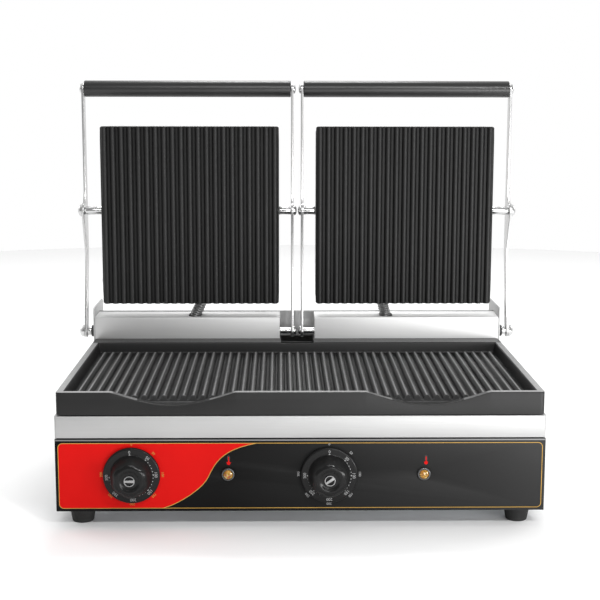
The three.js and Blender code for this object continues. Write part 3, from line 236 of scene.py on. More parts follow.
def tube(path, radii, sides=20, bore=None):
    """A round tube along a path, capped, or open with a bore."""
    path = np.array(path, float)
    radii = np.broadcast_to(np.array(radii, float), (len(path),))
    side = None
    frames = []
    for i, point in enumerate(path):
        along = path[min(i + 1, len(path) - 1)] - path[max(i - 1, 0)]
        along = along / np.linalg.norm(along)
        if side is None:
            side = np.array([0.0, 1, 0]) if abs(along[0]) > 0.7 else np.array([1.0, 0, 0])
        side = side - along * side.dot(along)
        side = side / np.linalg.norm(side)
        frames.append((side, np.cross(along, side)))
    angles = np.arange(sides) * 2 * math.pi / sides
    rows = list(zip(path, frames, radii))
    if bore:
        rows += [(point, axes, bore) for point, axes, _ in reversed(rows)]
    points = np.concatenate([
        point + radius * (np.outer(np.cos(angles), a) + np.outer(np.sin(angles), b))
        for point, (a, b), radius in rows
    ])
    faces = []
    for i in range(len(rows) if bore else len(rows) - 1):
        here, there = i * sides, (i + 1) % len(rows) * sides
        for k in range(sides):
            n = (k + 1) % sides
            faces.append((here + k, here + n, there + n, there + k))
    if not bore:
        faces.append(tuple(range(sides - 1, -1, -1)))
        faces.append(tuple(range(len(points) - sides, len(points))))
    return points, faces


def arc(u, v, radius, start, end, steps=20):
    """Points on an arc, angles in degrees."""
    angles = np.radians(np.linspace(start, end, steps + 1))
    return [(u + radius * math.cos(a), v + radius * math.sin(a)) for a in angles]


def circle(u, v, radius, count=24):
    """Points all round a circle, none of them twice."""
    return arc(u, v, radius, 0, 360 - 360 / count, count - 1)


def prism(ring, start, end, plane="y"):
    """A closed ring drawn out between two places on the third axis."""
    points = [(u, w, v) if plane == "y" else (w, u, v) for w in (start, end) for u, v in ring]
    count = len(ring)
    faces = [tuple(range(count)), tuple(range(2 * count - 1, count - 1, -1))]
    for k in range(count):
        n = (k + 1) % count
        faces.append((n, k, count + k, count + n))
    return points, faces


def taken(kind, shape):
    """The points and faces of a curve or a text."""
    holder = linked(kind, shape)
    mesh = holder.to_mesh()
    corners = [tuple(vertex.co) for vertex in mesh.vertices]
    faces = [tuple(face.vertices) for face in mesh.polygons]
    holder.to_mesh_clear()
    bpy.data.objects.remove(holder)
    bpy.data.curves.remove(shape)
    return corners, faces


def slab(outline, holes, start, end, plane, edge=0.3):
    """A flat plate with rounded edges, its thickness along a plane's own axis."""
    curve = bpy.data.curves.new("slab", "CURVE")
    curve.dimensions = "2D"
    curve.fill_mode = "BOTH"
    for ring in [outline] + list(holes):
        spline = curve.splines.new("POLY")
        spline.points.add(len(ring) - 1)
        for point, (u, v) in zip(spline.points, ring):
            point.co = (u, v, 0, 1)
        spline.use_cyclic_u = True
    curve.extrude = (end - start) / 2 - edge
    curve.bevel_depth = edge
    curve.bevel_resolution = 2
    curve.offset = -edge
    corners, faces = taken("slab", curve)
    middle = (start + end) / 2
    if plane == "x":
        return [(middle + w, u, v) for u, v, w in corners], faces
    return [(u, middle + w, v) for u, v, w in corners], faces


def eased(node, body, look, width=0.25, angle=28, flat=0.5, sharp=40):
    """A carried solid again with its edges eased, as bent and deburred sheet has."""
    cleaned = bmesh.new()
    cleaned.from_mesh(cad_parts[node].data)
    bmesh.ops.remove_doubles(cleaned, verts=cleaned.verts, dist=1e-6)
    bmesh.ops.dissolve_limit(
        cleaned, angle_limit=math.radians(flat), verts=cleaned.verts, edges=cleaned.edges,
    )
    edges = [
        e for e in cleaned.edges
        if len(e.link_faces) == 2 and e.calc_face_angle(0) > math.radians(angle)
    ]
    bmesh.ops.bevel(
        cleaned, geom=edges, offset=width / PER_METRE, segments=2, profile=0.5,
        affect="EDGES", clamp_overlap=True,
    )
    mesh = bpy.data.meshes.new(node + "_eased")
    cleaned.to_mesh(mesh)
    cleaned.free()
    return dress(linked(node + "_eased", mesh), body, look, (node,), sharp)


# Materials: colours are linear, scales are per metre and depths are in metres


def add_node(tree, kind, values, sources):
    """A shader node with some sockets set and some linked."""
    node = tree.nodes.new("ShaderNode" + kind)
    for socket, value in values.items():
        node.inputs[socket].default_value = value
    for socket, source in sources.items():
        tree.links.new(source, node.inputs[socket])
    return node


class Look:
    """A node material: every pattern is laid out in the piece's own coordinates."""

    def __init__(self, name, values):
        self.material = bpy.data.materials.new(name)
        self.material.use_nodes = True
        self.tree = self.material.node_tree
        self.shader = self.tree.nodes["Principled BSDF"]
        for socket, value in values.items():
            self.shader.inputs[socket].default_value = value
        source = add_node(self.tree, "TexCoord", {}, {})
        self.place, self.facing = source.outputs["Object"], source.outputs["Normal"]

    def feed(self, socket, source):
        self.tree.links.new(source, self.shader.inputs[socket])

    def mapped(self, scale):
        scale = scale if isinstance(scale, tuple) else (scale, scale, scale)
        node = add_node(self.tree, "Mapping", {"Scale": scale}, {"Vector": self.place})
        return node.outputs["Vector"]

    def noise(self, scale, detail=3.0, roughness=0.55):
        values = {"Scale": 1, "Detail": detail, "Roughness": roughness}
        node = add_node(self.tree, "TexNoise", values, {"Vector": self.mapped(scale)})
        return node.outputs["Fac"]

    def cells(self, scale):
        cells = add_node(self.tree, "TexVoronoi", {"Scale": 1}, {"Vector": self.mapped(scale)})
        parts = add_node(self.tree, "SeparateColor", {}, {"Color": cells.outputs["Color"]})
        return parts.outputs["Red"]

    def split(self, vector, axis):
        return add_node(self.tree, "SeparateXYZ", {}, {"Vector": vector}).outputs[axis]

    def product(self, one, two):
        node = add_node(self.tree, "Math", {}, {0: one, 1: two})
        node.operation = "MULTIPLY"
        return node.outputs["Value"]

    def ranged(self, value, low, high, start=0.3, end=0.7):
        """Maps start..end of a value to low..high."""
        values = {"From Min": start, "From Max": end, "To Min": low, "To Max": high}
        return add_node(self.tree, "MapRange", values, {"Value": value}).outputs["Result"]

    def ramp(self, value, stops):
        node = add_node(self.tree, "ValToRGB", {}, {"Fac": value})
        while len(node.color_ramp.elements) < len(stops):
            node.color_ramp.elements.new(0.5)
        for element, (position, colour) in zip(node.color_ramp.elements, stops):
            element.position = position
            element.color = (*colour, 1)
        return node.outputs["Color"]

    def colour(self, value, *stops):
        self.feed("Base Color", self.ramp(value, stops))

    def rough(self, value, low, high, start=0.3, end=0.7):
        self.feed("Roughness", self.ranged(value, low, high, start, end))

    def bump(self, value, distance, strength):
        values = {"Distance": distance, "Strength": strength}
        node = add_node(self.tree, "Bump", values, {"Height": value})
        self.feed("Normal", node.outputs["Normal"])


def grey(level):
    return (level, level, level)


# Brushed and turned steel

STREAK, ALONG_STREAK = 1400, 12
STREAK_DEPTH = 0.00003


def brushed(name, grain, level=0.52, rough=(0.46, 0.6), depth=STREAK_DEPTH, metal=0.7):
    """Brushed stainless: fine streaks along one axis, with a faint larger unevenness."""
    scale = tuple(ALONG_STREAK if axis == grain else STREAK for axis in "xyz")
    look = Look(name, {"Metallic": metal})
    streaks = look.noise(scale, 4, 0.6)
    cloud = look.noise(9, 2)
    look.colour(cloud, (0.25, grey(level * 0.93)), (0.75, (level, level, level * 0.995)))
    look.rough(streaks, *rough)
    look.bump(streaks, depth, 0.35)
    return look.material


def shaded_below(name, low, high):
    """Brushed sheet painted near-black below a height in metres: painted shade in the recess between the
    covers.
    """
    look = Look(name, {"Metallic": 0.7})
    streaks = look.noise((ALONG_STREAK, STREAK, STREAK), 4, 0.6)
    height = look.ranged(look.split(look.place, "Z"), 0, 1, low, high)
    look.colour(height, (0.0, grey(0.012)), (1.0, grey(0.42)))
    look.rough(streaks, 0.46, 0.6)
    look.bump(streaks, STREAK_DEPTH, 0.35)
    return look.material


def turned_steel(name, level, rough):
    """Bright turned steel, its fine rings across the X axis."""
    look = Look(name, {"Metallic": 1.0})
    rings = look.noise((2200, 160, 160), 3)
    look.colour(look.noise(30, 2), (0.3, grey(level * 0.92)), (0.7, grey(level)))
    look.rough(rings, *rough)
    look.bump(rings, 0.00002, 0.3)
    return look.material


STAINLESS_X = brushed("stainless_x", "x", 0.44)
STAINLESS_Z = brushed("stainless_z", "z")
# The panel's top bend in grey steel instead of its black paint: a painted highlight.
EDGE_HIGHLIGHT_STEEL = brushed("edge_highlight_steel", "x", 0.2, (0.5, 0.6))
# One steel for both covers, painted darker on the left and lighter on the right: painted shade and
# painted light.
COVER_STEEL = {
    "left": brushed("cover_steel_painted_shade", "x", 0.62, (0.5, 0.62)),
    "right": brushed("cover_steel_painted_light", "x", 0.86, (0.5, 0.62)),
}
ARM_STEEL = brushed("arm_steel", "z", 0.58, (0.24, 0.36), 0.00002, 1.0)
# The tray is painted near-black low down: painted shade.
TRAY_STEEL = shaded_below("tray_steel", 0.137, 0.142)
STEEL = ("bright_steel", turned_steel("bright_turned", 0.66, (0.14, 0.26)))


# Cast iron

RIB_CREST, RIM_TOP = (FLOOR + RIB_HEIGHT) / PER_METRE, RIM / PER_METRE
UPPER_CREST = (FACE_Y - FRONT) / PER_METRE
REAR_RIM_FROM, REAR_RIM_TO = 0.078, 0.082
FACES_UP = ("facing", "Z", 0.9, 0.98)


def cast_iron(name, patches, dark, rough, shine):
    """Seasoned iron, with patches of other tones given as (level, masks), each mask (what, axis, from,
    to); the light patches are painted highlights.
    """
    look = Look(name, {"Specular IOR Level": shine})
    pebble = look.noise(1100, 5, 0.6)
    stain = look.noise(14, 4, 0.6)
    skin = look.ramp(stain, [(0.2, grey(dark * 0.75)), (0.55, grey(dark)), (0.85, grey(dark * 1.4))])
    for level, masks in patches:
        patch = look.ranged(look.noise(240, 4), 0.7, 1.0)
        for what, axis, start, end in masks:
            value = look.split(getattr(look, what), axis)
            patch = look.product(patch, look.ranged(value, 0, 1, start, end))
        mix = add_node(look.tree, "Mix", {}, {})
        mix.data_type = "RGBA"
        look.tree.links.new(patch, mix.inputs["Factor"])
        look.tree.links.new(skin, mix.inputs["A"])
        mix.inputs["B"].default_value = (*grey(level), 1)
        skin = mix.outputs["Result"]
    look.feed("Base Color", skin)
    look.rough(pebble, *rough)
    look.bump(pebble, 0.00008, 0.4)
    return look.material


# Up-facing faces from the rib crests upwards, and more so the rim tops at the front and sides, are
# painted lighter: painted highlights. The two dark patches set the steep upper faces and the rear rim to
# the dark iron tone.
LOWER_IRON = cast_iron("lower_iron", [
    (0.205, [("place", "Z", RIB_CREST - 0.00025, RIB_CREST - 0.00008), FACES_UP]),
    (0.013, [("place", "Z", 0.135, 0.1352), ("facing", "Z", 0.5, 0.4)]),
    (0.33, [
        ("place", "Z", RIM_TOP - 0.001, RIM_TOP - 0.0007), FACES_UP,
        ("place", "Y", REAR_RIM_TO, REAR_RIM_FROM),
    ]),
    (0.013, [("place", "Z", 0.137, 0.1372), ("place", "Y", REAR_RIM_FROM, REAR_RIM_TO)]),
], 0.011, (0.36, 0.5), 0.27)
# The light lines on the rib crests are a painted highlight.
UPPER_IRON = cast_iron("upper_iron", [
    (0.022, [
        ("place", "Y", UPPER_CREST + 0.0004, UPPER_CREST + 0.0001), ("facing", "Y", -0.88, -0.97),
    ]),
], 0.007, (0.4, 0.52), 0.25)


# Paint, print, rubber, mouldings and small metal


def plain(name, dark, light, rough, metal=0.0, grain=900, depth=0.00004, specular=0.5):
    """A finish with a fine grain and a slow drift of tone."""
    look = Look(name, {"Metallic": metal, "Specular IOR Level": specular})
    skin = look.noise(grain, 4, 0.55)
    look.colour(look.noise(18, 3), (0.3, dark), (0.7, light))
    look.rough(skin, *rough)
    look.bump(skin, depth, 0.5)
    return look.material


def panel_coat_with_painted_sheen():
    """Black powder coat, painted greyer towards the right: a painted sheen."""
    look = Look("panel_black", {"Specular IOR Level": 0.1})
    skin = look.noise(1300, 4, 0.55)
    # Painted sheen: the black is painted lighter towards +X.
    along = look.ranged(look.split(look.place, "X"), 0, 1, -0.08, 0.24)
    look.colour(along, (0.0, grey(0.003)), (0.5, grey(0.012)), (1.0, grey(0.022)))
    look.rough(skin, 0.4, 0.48)
    look.bump(skin, 0.00003, 0.5)
    return look.material


def moulding():
    """Black moulding: glossy where it faces the user, satin on the walls of the grip."""
    look = Look("knob_moulding", {"Specular IOR Level": 0.2})
    look.colour(look.noise(18, 3), (0.3, grey(0.005)), (0.7, grey(0.007)))
    look.rough(look.split(look.facing, "Y"), 0.2, 0.62, -0.86, -0.5)
    look.bump(look.noise(900, 4, 0.55), 0.00001, 0.5)
    return look.material


def jewel():
    """A clear amber lens, each facet painted a different tone from dark to near white: painted glints and
    painted reflections.
    """
    look = Look("amber_lens", {"Coat Weight": 0.35, "Coat Roughness": 0.05})
    glints = look.cells(620)
    # Facet colours from dark to near white are painted glints and painted reflections.
    look.colour(
        glints, (0.0, (0.03, 0.012, 0.002)), (0.22, (0.24, 0.1, 0.006)),
        (0.5, (0.34, 0.18, 0.012)), (0.68, (0.24, 0.03, 0.008)), (0.8, (0.4, 0.25, 0.03)),
        (1.0, (0.38, 0.31, 0.16)),
    )
    look.rough(glints, 0.08, 0.2)
    look.bump(look.noise(700), 0.00006, 0.6)
    return look.material


PANEL_BLACK = panel_coat_with_painted_sheen()
PAINT_RED = plain(
    "scale_red", (0.46, 0.0034, 0.0026), (0.51, 0.0043, 0.0034), (0.42, 0.5), 0, 1300, 0.00002, 0.08,
)
PRINT_GOLD = plain("print_gold", (0.36, 0.2, 0.03), (0.46, 0.27, 0.045), (0.36, 0.46), 0.3, 1600, 0.00001)
PRINT_PALE = plain("print_pale", grey(0.27), grey(0.34), (0.45, 0.55), 0, 1600, 0.00001)
PRINT_DIM = plain("print_dim", grey(0.06), grey(0.08), (0.45, 0.55), 0, 1600, 0.00001)
PRINT_RED = plain(
    "print_red", (0.44, 0.004, 0.003), (0.54, 0.006, 0.005), (0.4, 0.5), 0, 1600, 0.00001, 0.08,
)
RUBBER = plain("black_rubber", grey(0.01), grey(0.016), (0.62, 0.78), 0, 700, 0.00008, 0.35)
GRIP = plain("grip_sleeve", grey(0.012), grey(0.017), (0.3, 0.38), 0, 500, 0.00006)
MOULDING = moulding()
CHROME = plain("chrome", grey(0.26), grey(0.34), (0.2, 0.3), 1.0, 900, 0.00001)
BEZEL = plain("lamp_chrome", grey(0.09), grey(0.12), (0.2, 0.3), 1.0, 900, 0.00001)
NYLON = plain("nylon", grey(0.018), grey(0.026), (0.45, 0.55), 0, 900, 0.00005)
ZINC = plain("zinc", (0.36, 0.38, 0.41), (0.5, 0.52, 0.54), (0.32, 0.5), 1.0, 260, 0.00004)
CONDUIT = plain("conduit_metal", grey(0.22), grey(0.3), (0.42, 0.54), 0.8, 600, 0.00003)
CERAMIC = plain("ceramic", (0.72, 0.68, 0.58), (0.8, 0.77, 0.68), (0.5, 0.65), 0, 600, 0.00006)
SHEATH = plain("element", (0.1, 0.09, 0.085), (0.2, 0.17, 0.15), (0.35, 0.55), 0.9, 300, 0.00005)
BRASS = plain("brass", (0.46, 0.3, 0.085), (0.55, 0.37, 0.12), (0.22, 0.34), 1.0, 700, 0.00002)
AMBER = jewel()


# Sheet metal, and the carried solids that only need a material


def coat(node, look):
    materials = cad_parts[node].data.materials
    materials.clear()
    materials.append(look)


eased("bottom_pan", "base", ZINC)
eased("hinge_tray", "base", TRAY_STEEL)
for stem, look in (
    ("hinge_bracket", ZINC), ("hinge_bush", NYLON), ("spring_anchor", ZINC),
    ("thermostat", CERAMIC), ("knob_spindle", BRASS), ("lower_heater", SHEATH),
    ("upper_heater", SHEATH),
):
    for name, side in SIDES:
        coat(f"{stem}_{name}", look)
coat("cable_gland", NYLON)
eased("body_shell", "base", STAINLESS_X, 0.3)
eased("front_panel", "base", PANEL_BLACK, 0.3)
for name, side in SIDES:
    eased(f"hinge_cover_{name}", "base", COVER_STEEL[name])
    eased(f"upper_casing_{name}", f"plate_{name}", STAINLESS_Z, 0.4)


# Castings

FINE, MEDIUM, WIDE = 0.3, 0.7, 1.6
RIB_STEP = 0.85
EDGE_BAND = 1.5


def graded(start, *runs):
    """Places of a grid: from a start through runs of (end, step)."""
    out = [start]
    for end, step in runs:
        count = max(1, round((end - out[-1]) / step))
        out.extend(np.linspace(out[-1], end, count + 1)[1:].tolist())
    return np.array(out)


def field(us, vs, height, half_u, low_v, high_v, corner, rings):
    """A closed casting from a height over a grid, corners rounded, with rings below."""
    uu, vv = np.meshgrid(us, vs)
    hh = height(uu, vv)
    middle = (low_v + high_v) / 2
    half_v = (high_v - low_v) / 2
    u, v = uu.copy(), vv - middle
    du, dv = (np.abs(u) - (half_u - corner)) / corner, (np.abs(v) - (half_v - corner)) / corner
    inside = (du > 0) & (dv > 0)
    warped_u = du * np.sqrt(np.clip(1 - dv ** 2 / 2, 0, 1))
    warped_v = dv * np.sqrt(np.clip(1 - du ** 2 / 2, 0, 1))
    u = np.where(inside, np.sign(u) * (half_u - corner + corner * warped_u), u)
    v = np.where(inside, np.sign(v) * (half_v - corner + corner * warped_v), v)
    points = np.stack([u, v + middle, hh], -1).reshape(-1, 3).tolist()
    index = np.arange(len(points)).reshape(uu.shape)
    faces = list(zip(
        index[:-1, :-1].ravel(), index[:-1, 1:].ravel(), index[1:, 1:].ravel(),
        index[1:, :-1].ravel(),
    ))
    loop = [*index[0], *index[1:, -1], *index[-1, -2::-1], *index[-2:0:-1, 0]]
    count = len(loop)
    edge = [points[i] for i in loop]
    previous = loop
    for inset, level in rings:
        start = len(points)
        for p in edge:
            u = max(inset - half_u, min(half_u - inset, p[0]))
            points.append([u, max(low_v + inset, min(high_v - inset, p[1])), level])
        row = list(range(start, start + count))
        for k in range(count):
            n = (k + 1) % count
            faces.append((previous[n], previous[k], row[k], row[n]))
        previous = row
    faces.append(tuple(reversed(previous)))
    return np.array(points), faces


def hump(u, pitch, width, height, count):
    """Height of round ribs over their floor."""
    index = np.clip(np.round(u / pitch + (count - 1) / 2), 0, count - 1)
    offset = u - (index - (count - 1) / 2) * pitch
    return height * np.sqrt(np.clip(1 - (2 * offset / width) ** 2, 0, 1))


def rounded_top(distance, radius):
    """How far a surface drops near an edge that is rounded over."""
    reach = np.clip(radius - distance, 0, radius)
    return radius - np.sqrt(np.clip(radius ** 2 - reach ** 2, 0, None))


# How deep the pocket is at some distances inside its edge, at the sides and at both ends
SIDE_WALL = ([-1.2, -0.3, 0.3, 1.6, 3.2, 5.0], [0, 0.6, 3.0, 12.2, 13.4, 13.6])
END_WALL = ([-1.2, -0.3, 0.15, 0.6, 2.0, 3.6], [0, 0.6, 3.0, 12.0, 13.3, 13.6])
HALF_POCKET, POCKET_BACK = HALF_PLATE - RIM_FRONT, PLATE_DEPTH - RIM_REAR
WALL_DRAFT, RUN_OUT, EASE_SHARE = 2, 5, 0.35
PLATEAU_LEAD, PLATEAU_RAMP = 1, 1.6
SCOOP_WIDTH, SCOOP_DEPTH, SCOOP_REACH, SCOOP_BLUNT = 126, 13.3, 16, 0.0002
RIM_EDGE, NOTCH_EDGE = 1.1, 0.5
NOTCH_HALF, NOTCH_DEPTH, SILL_DROP = 19.9, 18, 1.2
SILL_START, NOTCH_START = 262.4, 264.4


def lower_height(x, y):
    """The lower casting from above: pocket, ribs that run out, scoops and the rear notch."""
    ends = np.minimum(np.interp(y - RIM_FRONT, *END_WALL), np.interp(POCKET_BACK - y, *END_WALL))
    z = RIM - np.minimum(np.interp(HALF_POCKET - np.abs(x), *SIDE_WALL), ends)
    along = np.minimum(y - RIB_START, RIB_END - y)
    inside = np.clip((HALF_POCKET - WALL_DRAFT - np.abs(x)) / WALL_DRAFT, 0, 1)
    lift = np.clip(along / RUN_OUT, 0, 1)
    lift = lift * lift * (3 - 2 * lift) * EASE_SHARE + lift * (1 - EASE_SHARE)
    rib = np.minimum(hump(x, RIB_PITCH, RIB_WIDTH, RIB_HEIGHT, RIB_COUNT), RIB_HEIGHT * lift)
    plateau = np.clip(along + PLATEAU_LEAD, 0, PLATEAU_RAMP) / PLATEAU_RAMP
    raised = inside * (plateau * (FLOOR - GUTTER) + rib)
    z = z + np.where(along > -PLATEAU_LEAD, raised, 0)
    for _, side in SIDES:
        t = (x - side * UPPER_MID) / SCOOP_WIDTH + 0.5
        bend = np.clip(np.sin(math.pi * np.clip(t, 0, 1)), 0, 1)
        dip = SCOOP_DEPTH * np.sqrt(bend ** 2 + SCOOP_BLUNT)
        dip = np.where((t > 0) & (t < 1), dip, 0)
        z = np.where(y < SCOOP_REACH, np.minimum(z, RIM - dip), z)
    edge = np.minimum(np.minimum(y, PLATE_DEPTH - y), HALF_PLATE - np.abs(x))
    z = z - rounded_top(edge, RIM_EDGE)
    across = np.clip((NOTCH_HALF - np.abs(x)) / NOTCH_EDGE, 0, 1)
    sill = np.where(y > SILL_START, RIM - SILL_DROP, RIM)
    z = np.minimum(z, sill * across + RIM * (1 - across))
    deep = across * np.clip((y - NOTCH_START) / NOTCH_EDGE, 0, 1)
    return np.where(deep > 0, np.minimum(z, RIM - NOTCH_DEPTH * deep), z)


def lower_casting(wall=6.5, ribs=14, inset=4, lip=5, lip_low=117.8, lip_top=122.2):
    """The lower plate: a fine grid over the ribs, and the lip under the rim."""
    near = HALF_PLATE - ribs
    half = graded(
        near, (near + 0.5, 0.5), (HALF_PLATE - wall, 0.5), (HALF_PLATE - EDGE_BAND, WIDE),
        (HALF_PLATE, FINE),
    )
    middle = graded(-near, (near, RIB_STEP))[1:-1]
    notch = graded(NOTCH_HALF - NOTCH_EDGE, (NOTCH_HALF, 0.25))
    xs = np.sort(np.concatenate([-half, middle, half, -notch, notch]))
    ys = graded(
        0, (EDGE_BAND, FINE), (wall, WIDE), (wall + FINE, FINE), (9, FINE), (12, MEDIUM),
        (RIB_START - 1, WIDE), (RIB_START + 6, MEDIUM), (RIB_END - 6, 20), (RIB_END + 1.5, MEDIUM),
        (POCKET_BACK - 4, WIDE), (POCKET_BACK - 1, MEDIUM), (POCKET_BACK + 3, 0.25),
        (PLATE_DEPTH - EDGE_BAND, 6), (PLATE_DEPTH, FINE),
    )
    rings = [(0, PLATE_LOW), (inset, PLATE_LOW), (inset, lip_low)]
    rings += [(inset + lip, lip_low), (inset + lip, lip_top)]
    points, faces = field(xs, ys, lower_height, HALF_PLATE, 0, PLATE_DEPTH, 4, rings)
    make("lower_casting", points, faces, "base", "cast_iron", LOWER_IRON, ("lower_plate",), 50)


def upper_height(u, v):
    """The upper casting from its cooking side, heights towards the front."""
    rib = hump(u, UPPER_WIDTH / UPPER_RIB_COUNT, UPPER_RIB_WIDTH, UPPER_RIB_HEIGHT, UPPER_RIB_COUNT)
    edge = np.minimum(HALF_UPPER - np.abs(u), np.minimum(v - UPPER_LOW, UPPER_HIGH - v))
    return -FACE_Y - UPPER_RIB_HEIGHT + rib - rounded_top(edge, 1.0) * 0.9


def upper_casting(name, side, band=1.2, flange=7.5, thickness=13, inset=2.3, notch=7.4, relief=8.0):
    """A ribbed upper plate, and behind its flange a block notched at the pivots."""
    inner = HALF_UPPER - band
    us = graded(-HALF_UPPER, (-inner, FINE), (inner, RIB_STEP), (HALF_UPPER, FINE))
    vs = graded(UPPER_LOW, (UPPER_LOW + band, FINE), (UPPER_HIGH - band, 15), (UPPER_HIGH, FINE))
    rings = [(0, -FACE_Y - flange), (2, -FACE_Y - flange)]
    points, faces = field(us, vs, upper_height, HALF_UPPER, UPPER_LOW, UPPER_HIGH, 3, rings)
    points = np.stack([points[:, 0] + side * UPPER_MID, -points[:, 2], points[:, 1]], -1)
    pile = Pile().add(points, faces)
    low, high = UPPER_LOW + inset, UPPER_HIGH - inset
    under, over = PIVOT_Z - notch, PIVOT_Z + notch
    wide, deep = HALF_UPPER - inset, HALF_UPPER - relief
    half = [(wide, low), (wide, under), (deep, under), (deep, over), (wide, over), (wide, high)]
    ring = half + [(-u, v) for u, v in reversed(half)]
    ring = [(u + side * UPPER_MID, v) for u, v in ring]
    pile.add(*slab(ring, [], FACE_Y + flange - 0.1, FACE_Y + thickness, "y"))
    plate = f"plate_{name}"
    pile.make(f"upper_casting_{name}", plate, "cast_iron", UPPER_IRON, (f"upper_{plate}",), 50)


lower_casting()
for name, side in SIDES:
    upper_casting(name, side)


# Lid arms, handles, shafts and pivot bolts

GRIP_RADIUS, SPACER = 9.8, 5
NUT_RADIUS, NUT_LENGTH, NUT_SETBACK = 7, 5, 1.8


def arm_outline(setback=13, width=13, taper=95, lobe_rise=22, hinge_eye=7.6, pivot_eye=9):
    """Side view of an arm: round the hinge, up the bar, round the handle and the pivot."""
    front, back = HINGE_Y + setback, HINGE_Y + setback + width
    bend = HINGE_Z + taper
    ring = arc(HINGE_Y, HINGE_Z, hinge_eye, 167.4, 352.8, 28)
    ring += [(back, bend), (back, HANDLE_Z)]
    ring += arc(HANDLE_Y, HANDLE_Z, width / 2, 0, 180)[1:]
    ring += [(front, PIVOT_Z + lobe_rise)]
    return ring + arc(HINGE_Y, PIVOT_Z, pivot_eye, 54, 190.8, 24) + [(front, bend)]


def arms(name, side):
    """Both arms of a lid, with holes for shaft, pivot and handle."""
    holes = [
        circle(HINGE_Y, HINGE_Z, NECK + SEAT), circle(HINGE_Y, PIVOT_Z, PIVOT_NECK + SEAT),
        circle(HANDLE_Y, HANDLE_Z, NECK + SEAT),
    ]
    for part, inner in (("outer", ARM_OUT), ("inner", ARM_IN)):
        start, end = sorted((side * inner, side * (inner + ARM_THICK)))
        make(
            f"arm_{part}_{name}_bar", *slab(arm_outline(), holes, start, end, "x", 0.45),
            f"lid_{name}", "bright_steel", ARM_STEEL, (f"arm_{part}_{name}",), 40,
        )


def handle(name, side, head=6, height=2.6):
    """The sleeve, and the rod through it with its domed heads."""
    sleeve = soft(stretch(SHAFT + SEAT, GRIP_RADIUS, IN_FAR, OUT_NEAR), 1.2, 5)
    sleeve.append(sleeve[0])
    make(
        f"handle_sleeve_{name}", *bar(sleeve, side, HANDLE_Y, HANDLE_Z, 72), f"lid_{name}",
        "black_grip", GRIP, (f"handle_grip_{name}",),
    )
    rod = inner_dome(head, IN_NEAR, height)
    rod += soft([
        (head, IN_NEAR), (NECK, IN_NEAR), *stretch(NECK, SHAFT, IN_FAR, OUT_NEAR), (NECK, OUT_FAR),
        (head, OUT_FAR),
    ], 0.2, 2)
    rod += dome(head, OUT_FAR, height)
    shape = bar(rod, side, HANDLE_Y, HANDLE_Z)
    make(f"handle_core_{name}", *shape, f"lid_{name}", *STEEL, (f"handle_rod_{name}",))


def hinge_axle(name, side, collar=5.2, collar_length=4.6, tip=4):
    """A hinge shaft with domed ends and collar, and its crank with the pin."""
    start = OUT_NEAR - collar_length
    shaft = inner_dome(6, IN_NEAR, 3.6)
    shaft += [(NECK, IN_NEAR), (NECK, IN_FAR), (SHAFT, IN_FAR), (SHAFT, start)]
    shaft += soft(stretch(SHAFT, collar, start, OUT_NEAR, NECK), 0.4, 3)
    shaft += [(NECK, OUT_FAR)] + dome(7.4, OUT_FAR, 6.3)
    pile = Pile().add(*bar(shaft, side, HINGE_Y, HINGE_Z))
    crank = arc(HINGE_Y, CRANK_Z, tip, 180, 360, 16)
    crank += arc(HINGE_Y, HINGE_Z, SHAFT + SEAT, 0, 180, 16)
    half = CRANK_THICK / 2
    start, end = sorted((side * (CRANK_X - half), side * (CRANK_X + half)))
    pile.add(*slab(crank, [], start, end, "x", 0.4))
    pin = soft(stretch(0, PIN_RADIUS, CRANK_X, CRANK_X + PIN_LENGTH), 0.4, 3)
    pile.add(*bar(pin, side, HINGE_Y, CRANK_Z, 32))
    pile.make(f"hinge_axle_{name}", f"lid_{name}", *STEEL, (f"hinge_shaft_{name}",))


def pivot_bolts(name, side):
    """The bolts of an upper plate: nut, spacer, neck in the arm, domed head."""
    nut = UPPER_END - NUT_SETBACK
    outer = soft(stretch(0, NUT_RADIUS, nut - NUT_LENGTH, nut, PIVOT_NECK), 0.5, 3)
    spacer = stretch(PIVOT_NECK, SPACER, UPPER_END, OUT_NEAR)
    outer += soft(spacer + [(PIVOT_NECK, OUT_FAR)], 0.3, 2) + dome(7.5, OUT_FAR, 4.9)
    nut = UPPER_X + NUT_SETBACK
    inner = inner_dome(6, IN_NEAR, 3.6) + [(PIVOT_NECK, IN_NEAR)]
    inner += soft(stretch(PIVOT_NECK, SPACER, IN_FAR, UPPER_X), 0.3, 2)
    inner += soft(stretch(PIVOT_NECK, NUT_RADIUS, nut, nut + NUT_LENGTH, 0), 0.5, 3)
    for part, bolt in (("outer", outer), ("inner", inner)):
        shape = bar(bolt, side, HINGE_Y, PIVOT_Z)
        make(f"pivot_{part}_{name}", *shape, f"plate_{name}", *STEEL, (f"pivot_bolt_{part}_{name}",))


for name, side in SIDES:
    arms(name, side)
    handle(name, side)
    hinge_axle(name, side)
    pivot_bolts(name, side)


# Springs and conduits

ANCHOR_Y, ANCHOR_Z = 310, 40
HOOK, COIL, WIRE, LEAD, TURNS = 4.2, 5.2, 1.2, 17, 14
HOOK_STEPS, COIL_STEPS = 24, 28
CONDUIT_X = {"left": (-125.8, -119.0), "right": (110.1, 106.4)}
CONDUIT_LOW, CONDUIT_HIGH, CONDUIT_Y = 124.2, 188.2, HINGE_Y + 18
CONDUIT_RADIUS, ROOT_RADIUS, BORE, WAVE = 6.9, 6.2, 4.8, 0.7
RIPPLES, RIPPLE_STEPS, SPLIT_RIPPLE = 25, 6, 21
FIXED_Z, FREE_Z = 162, 187


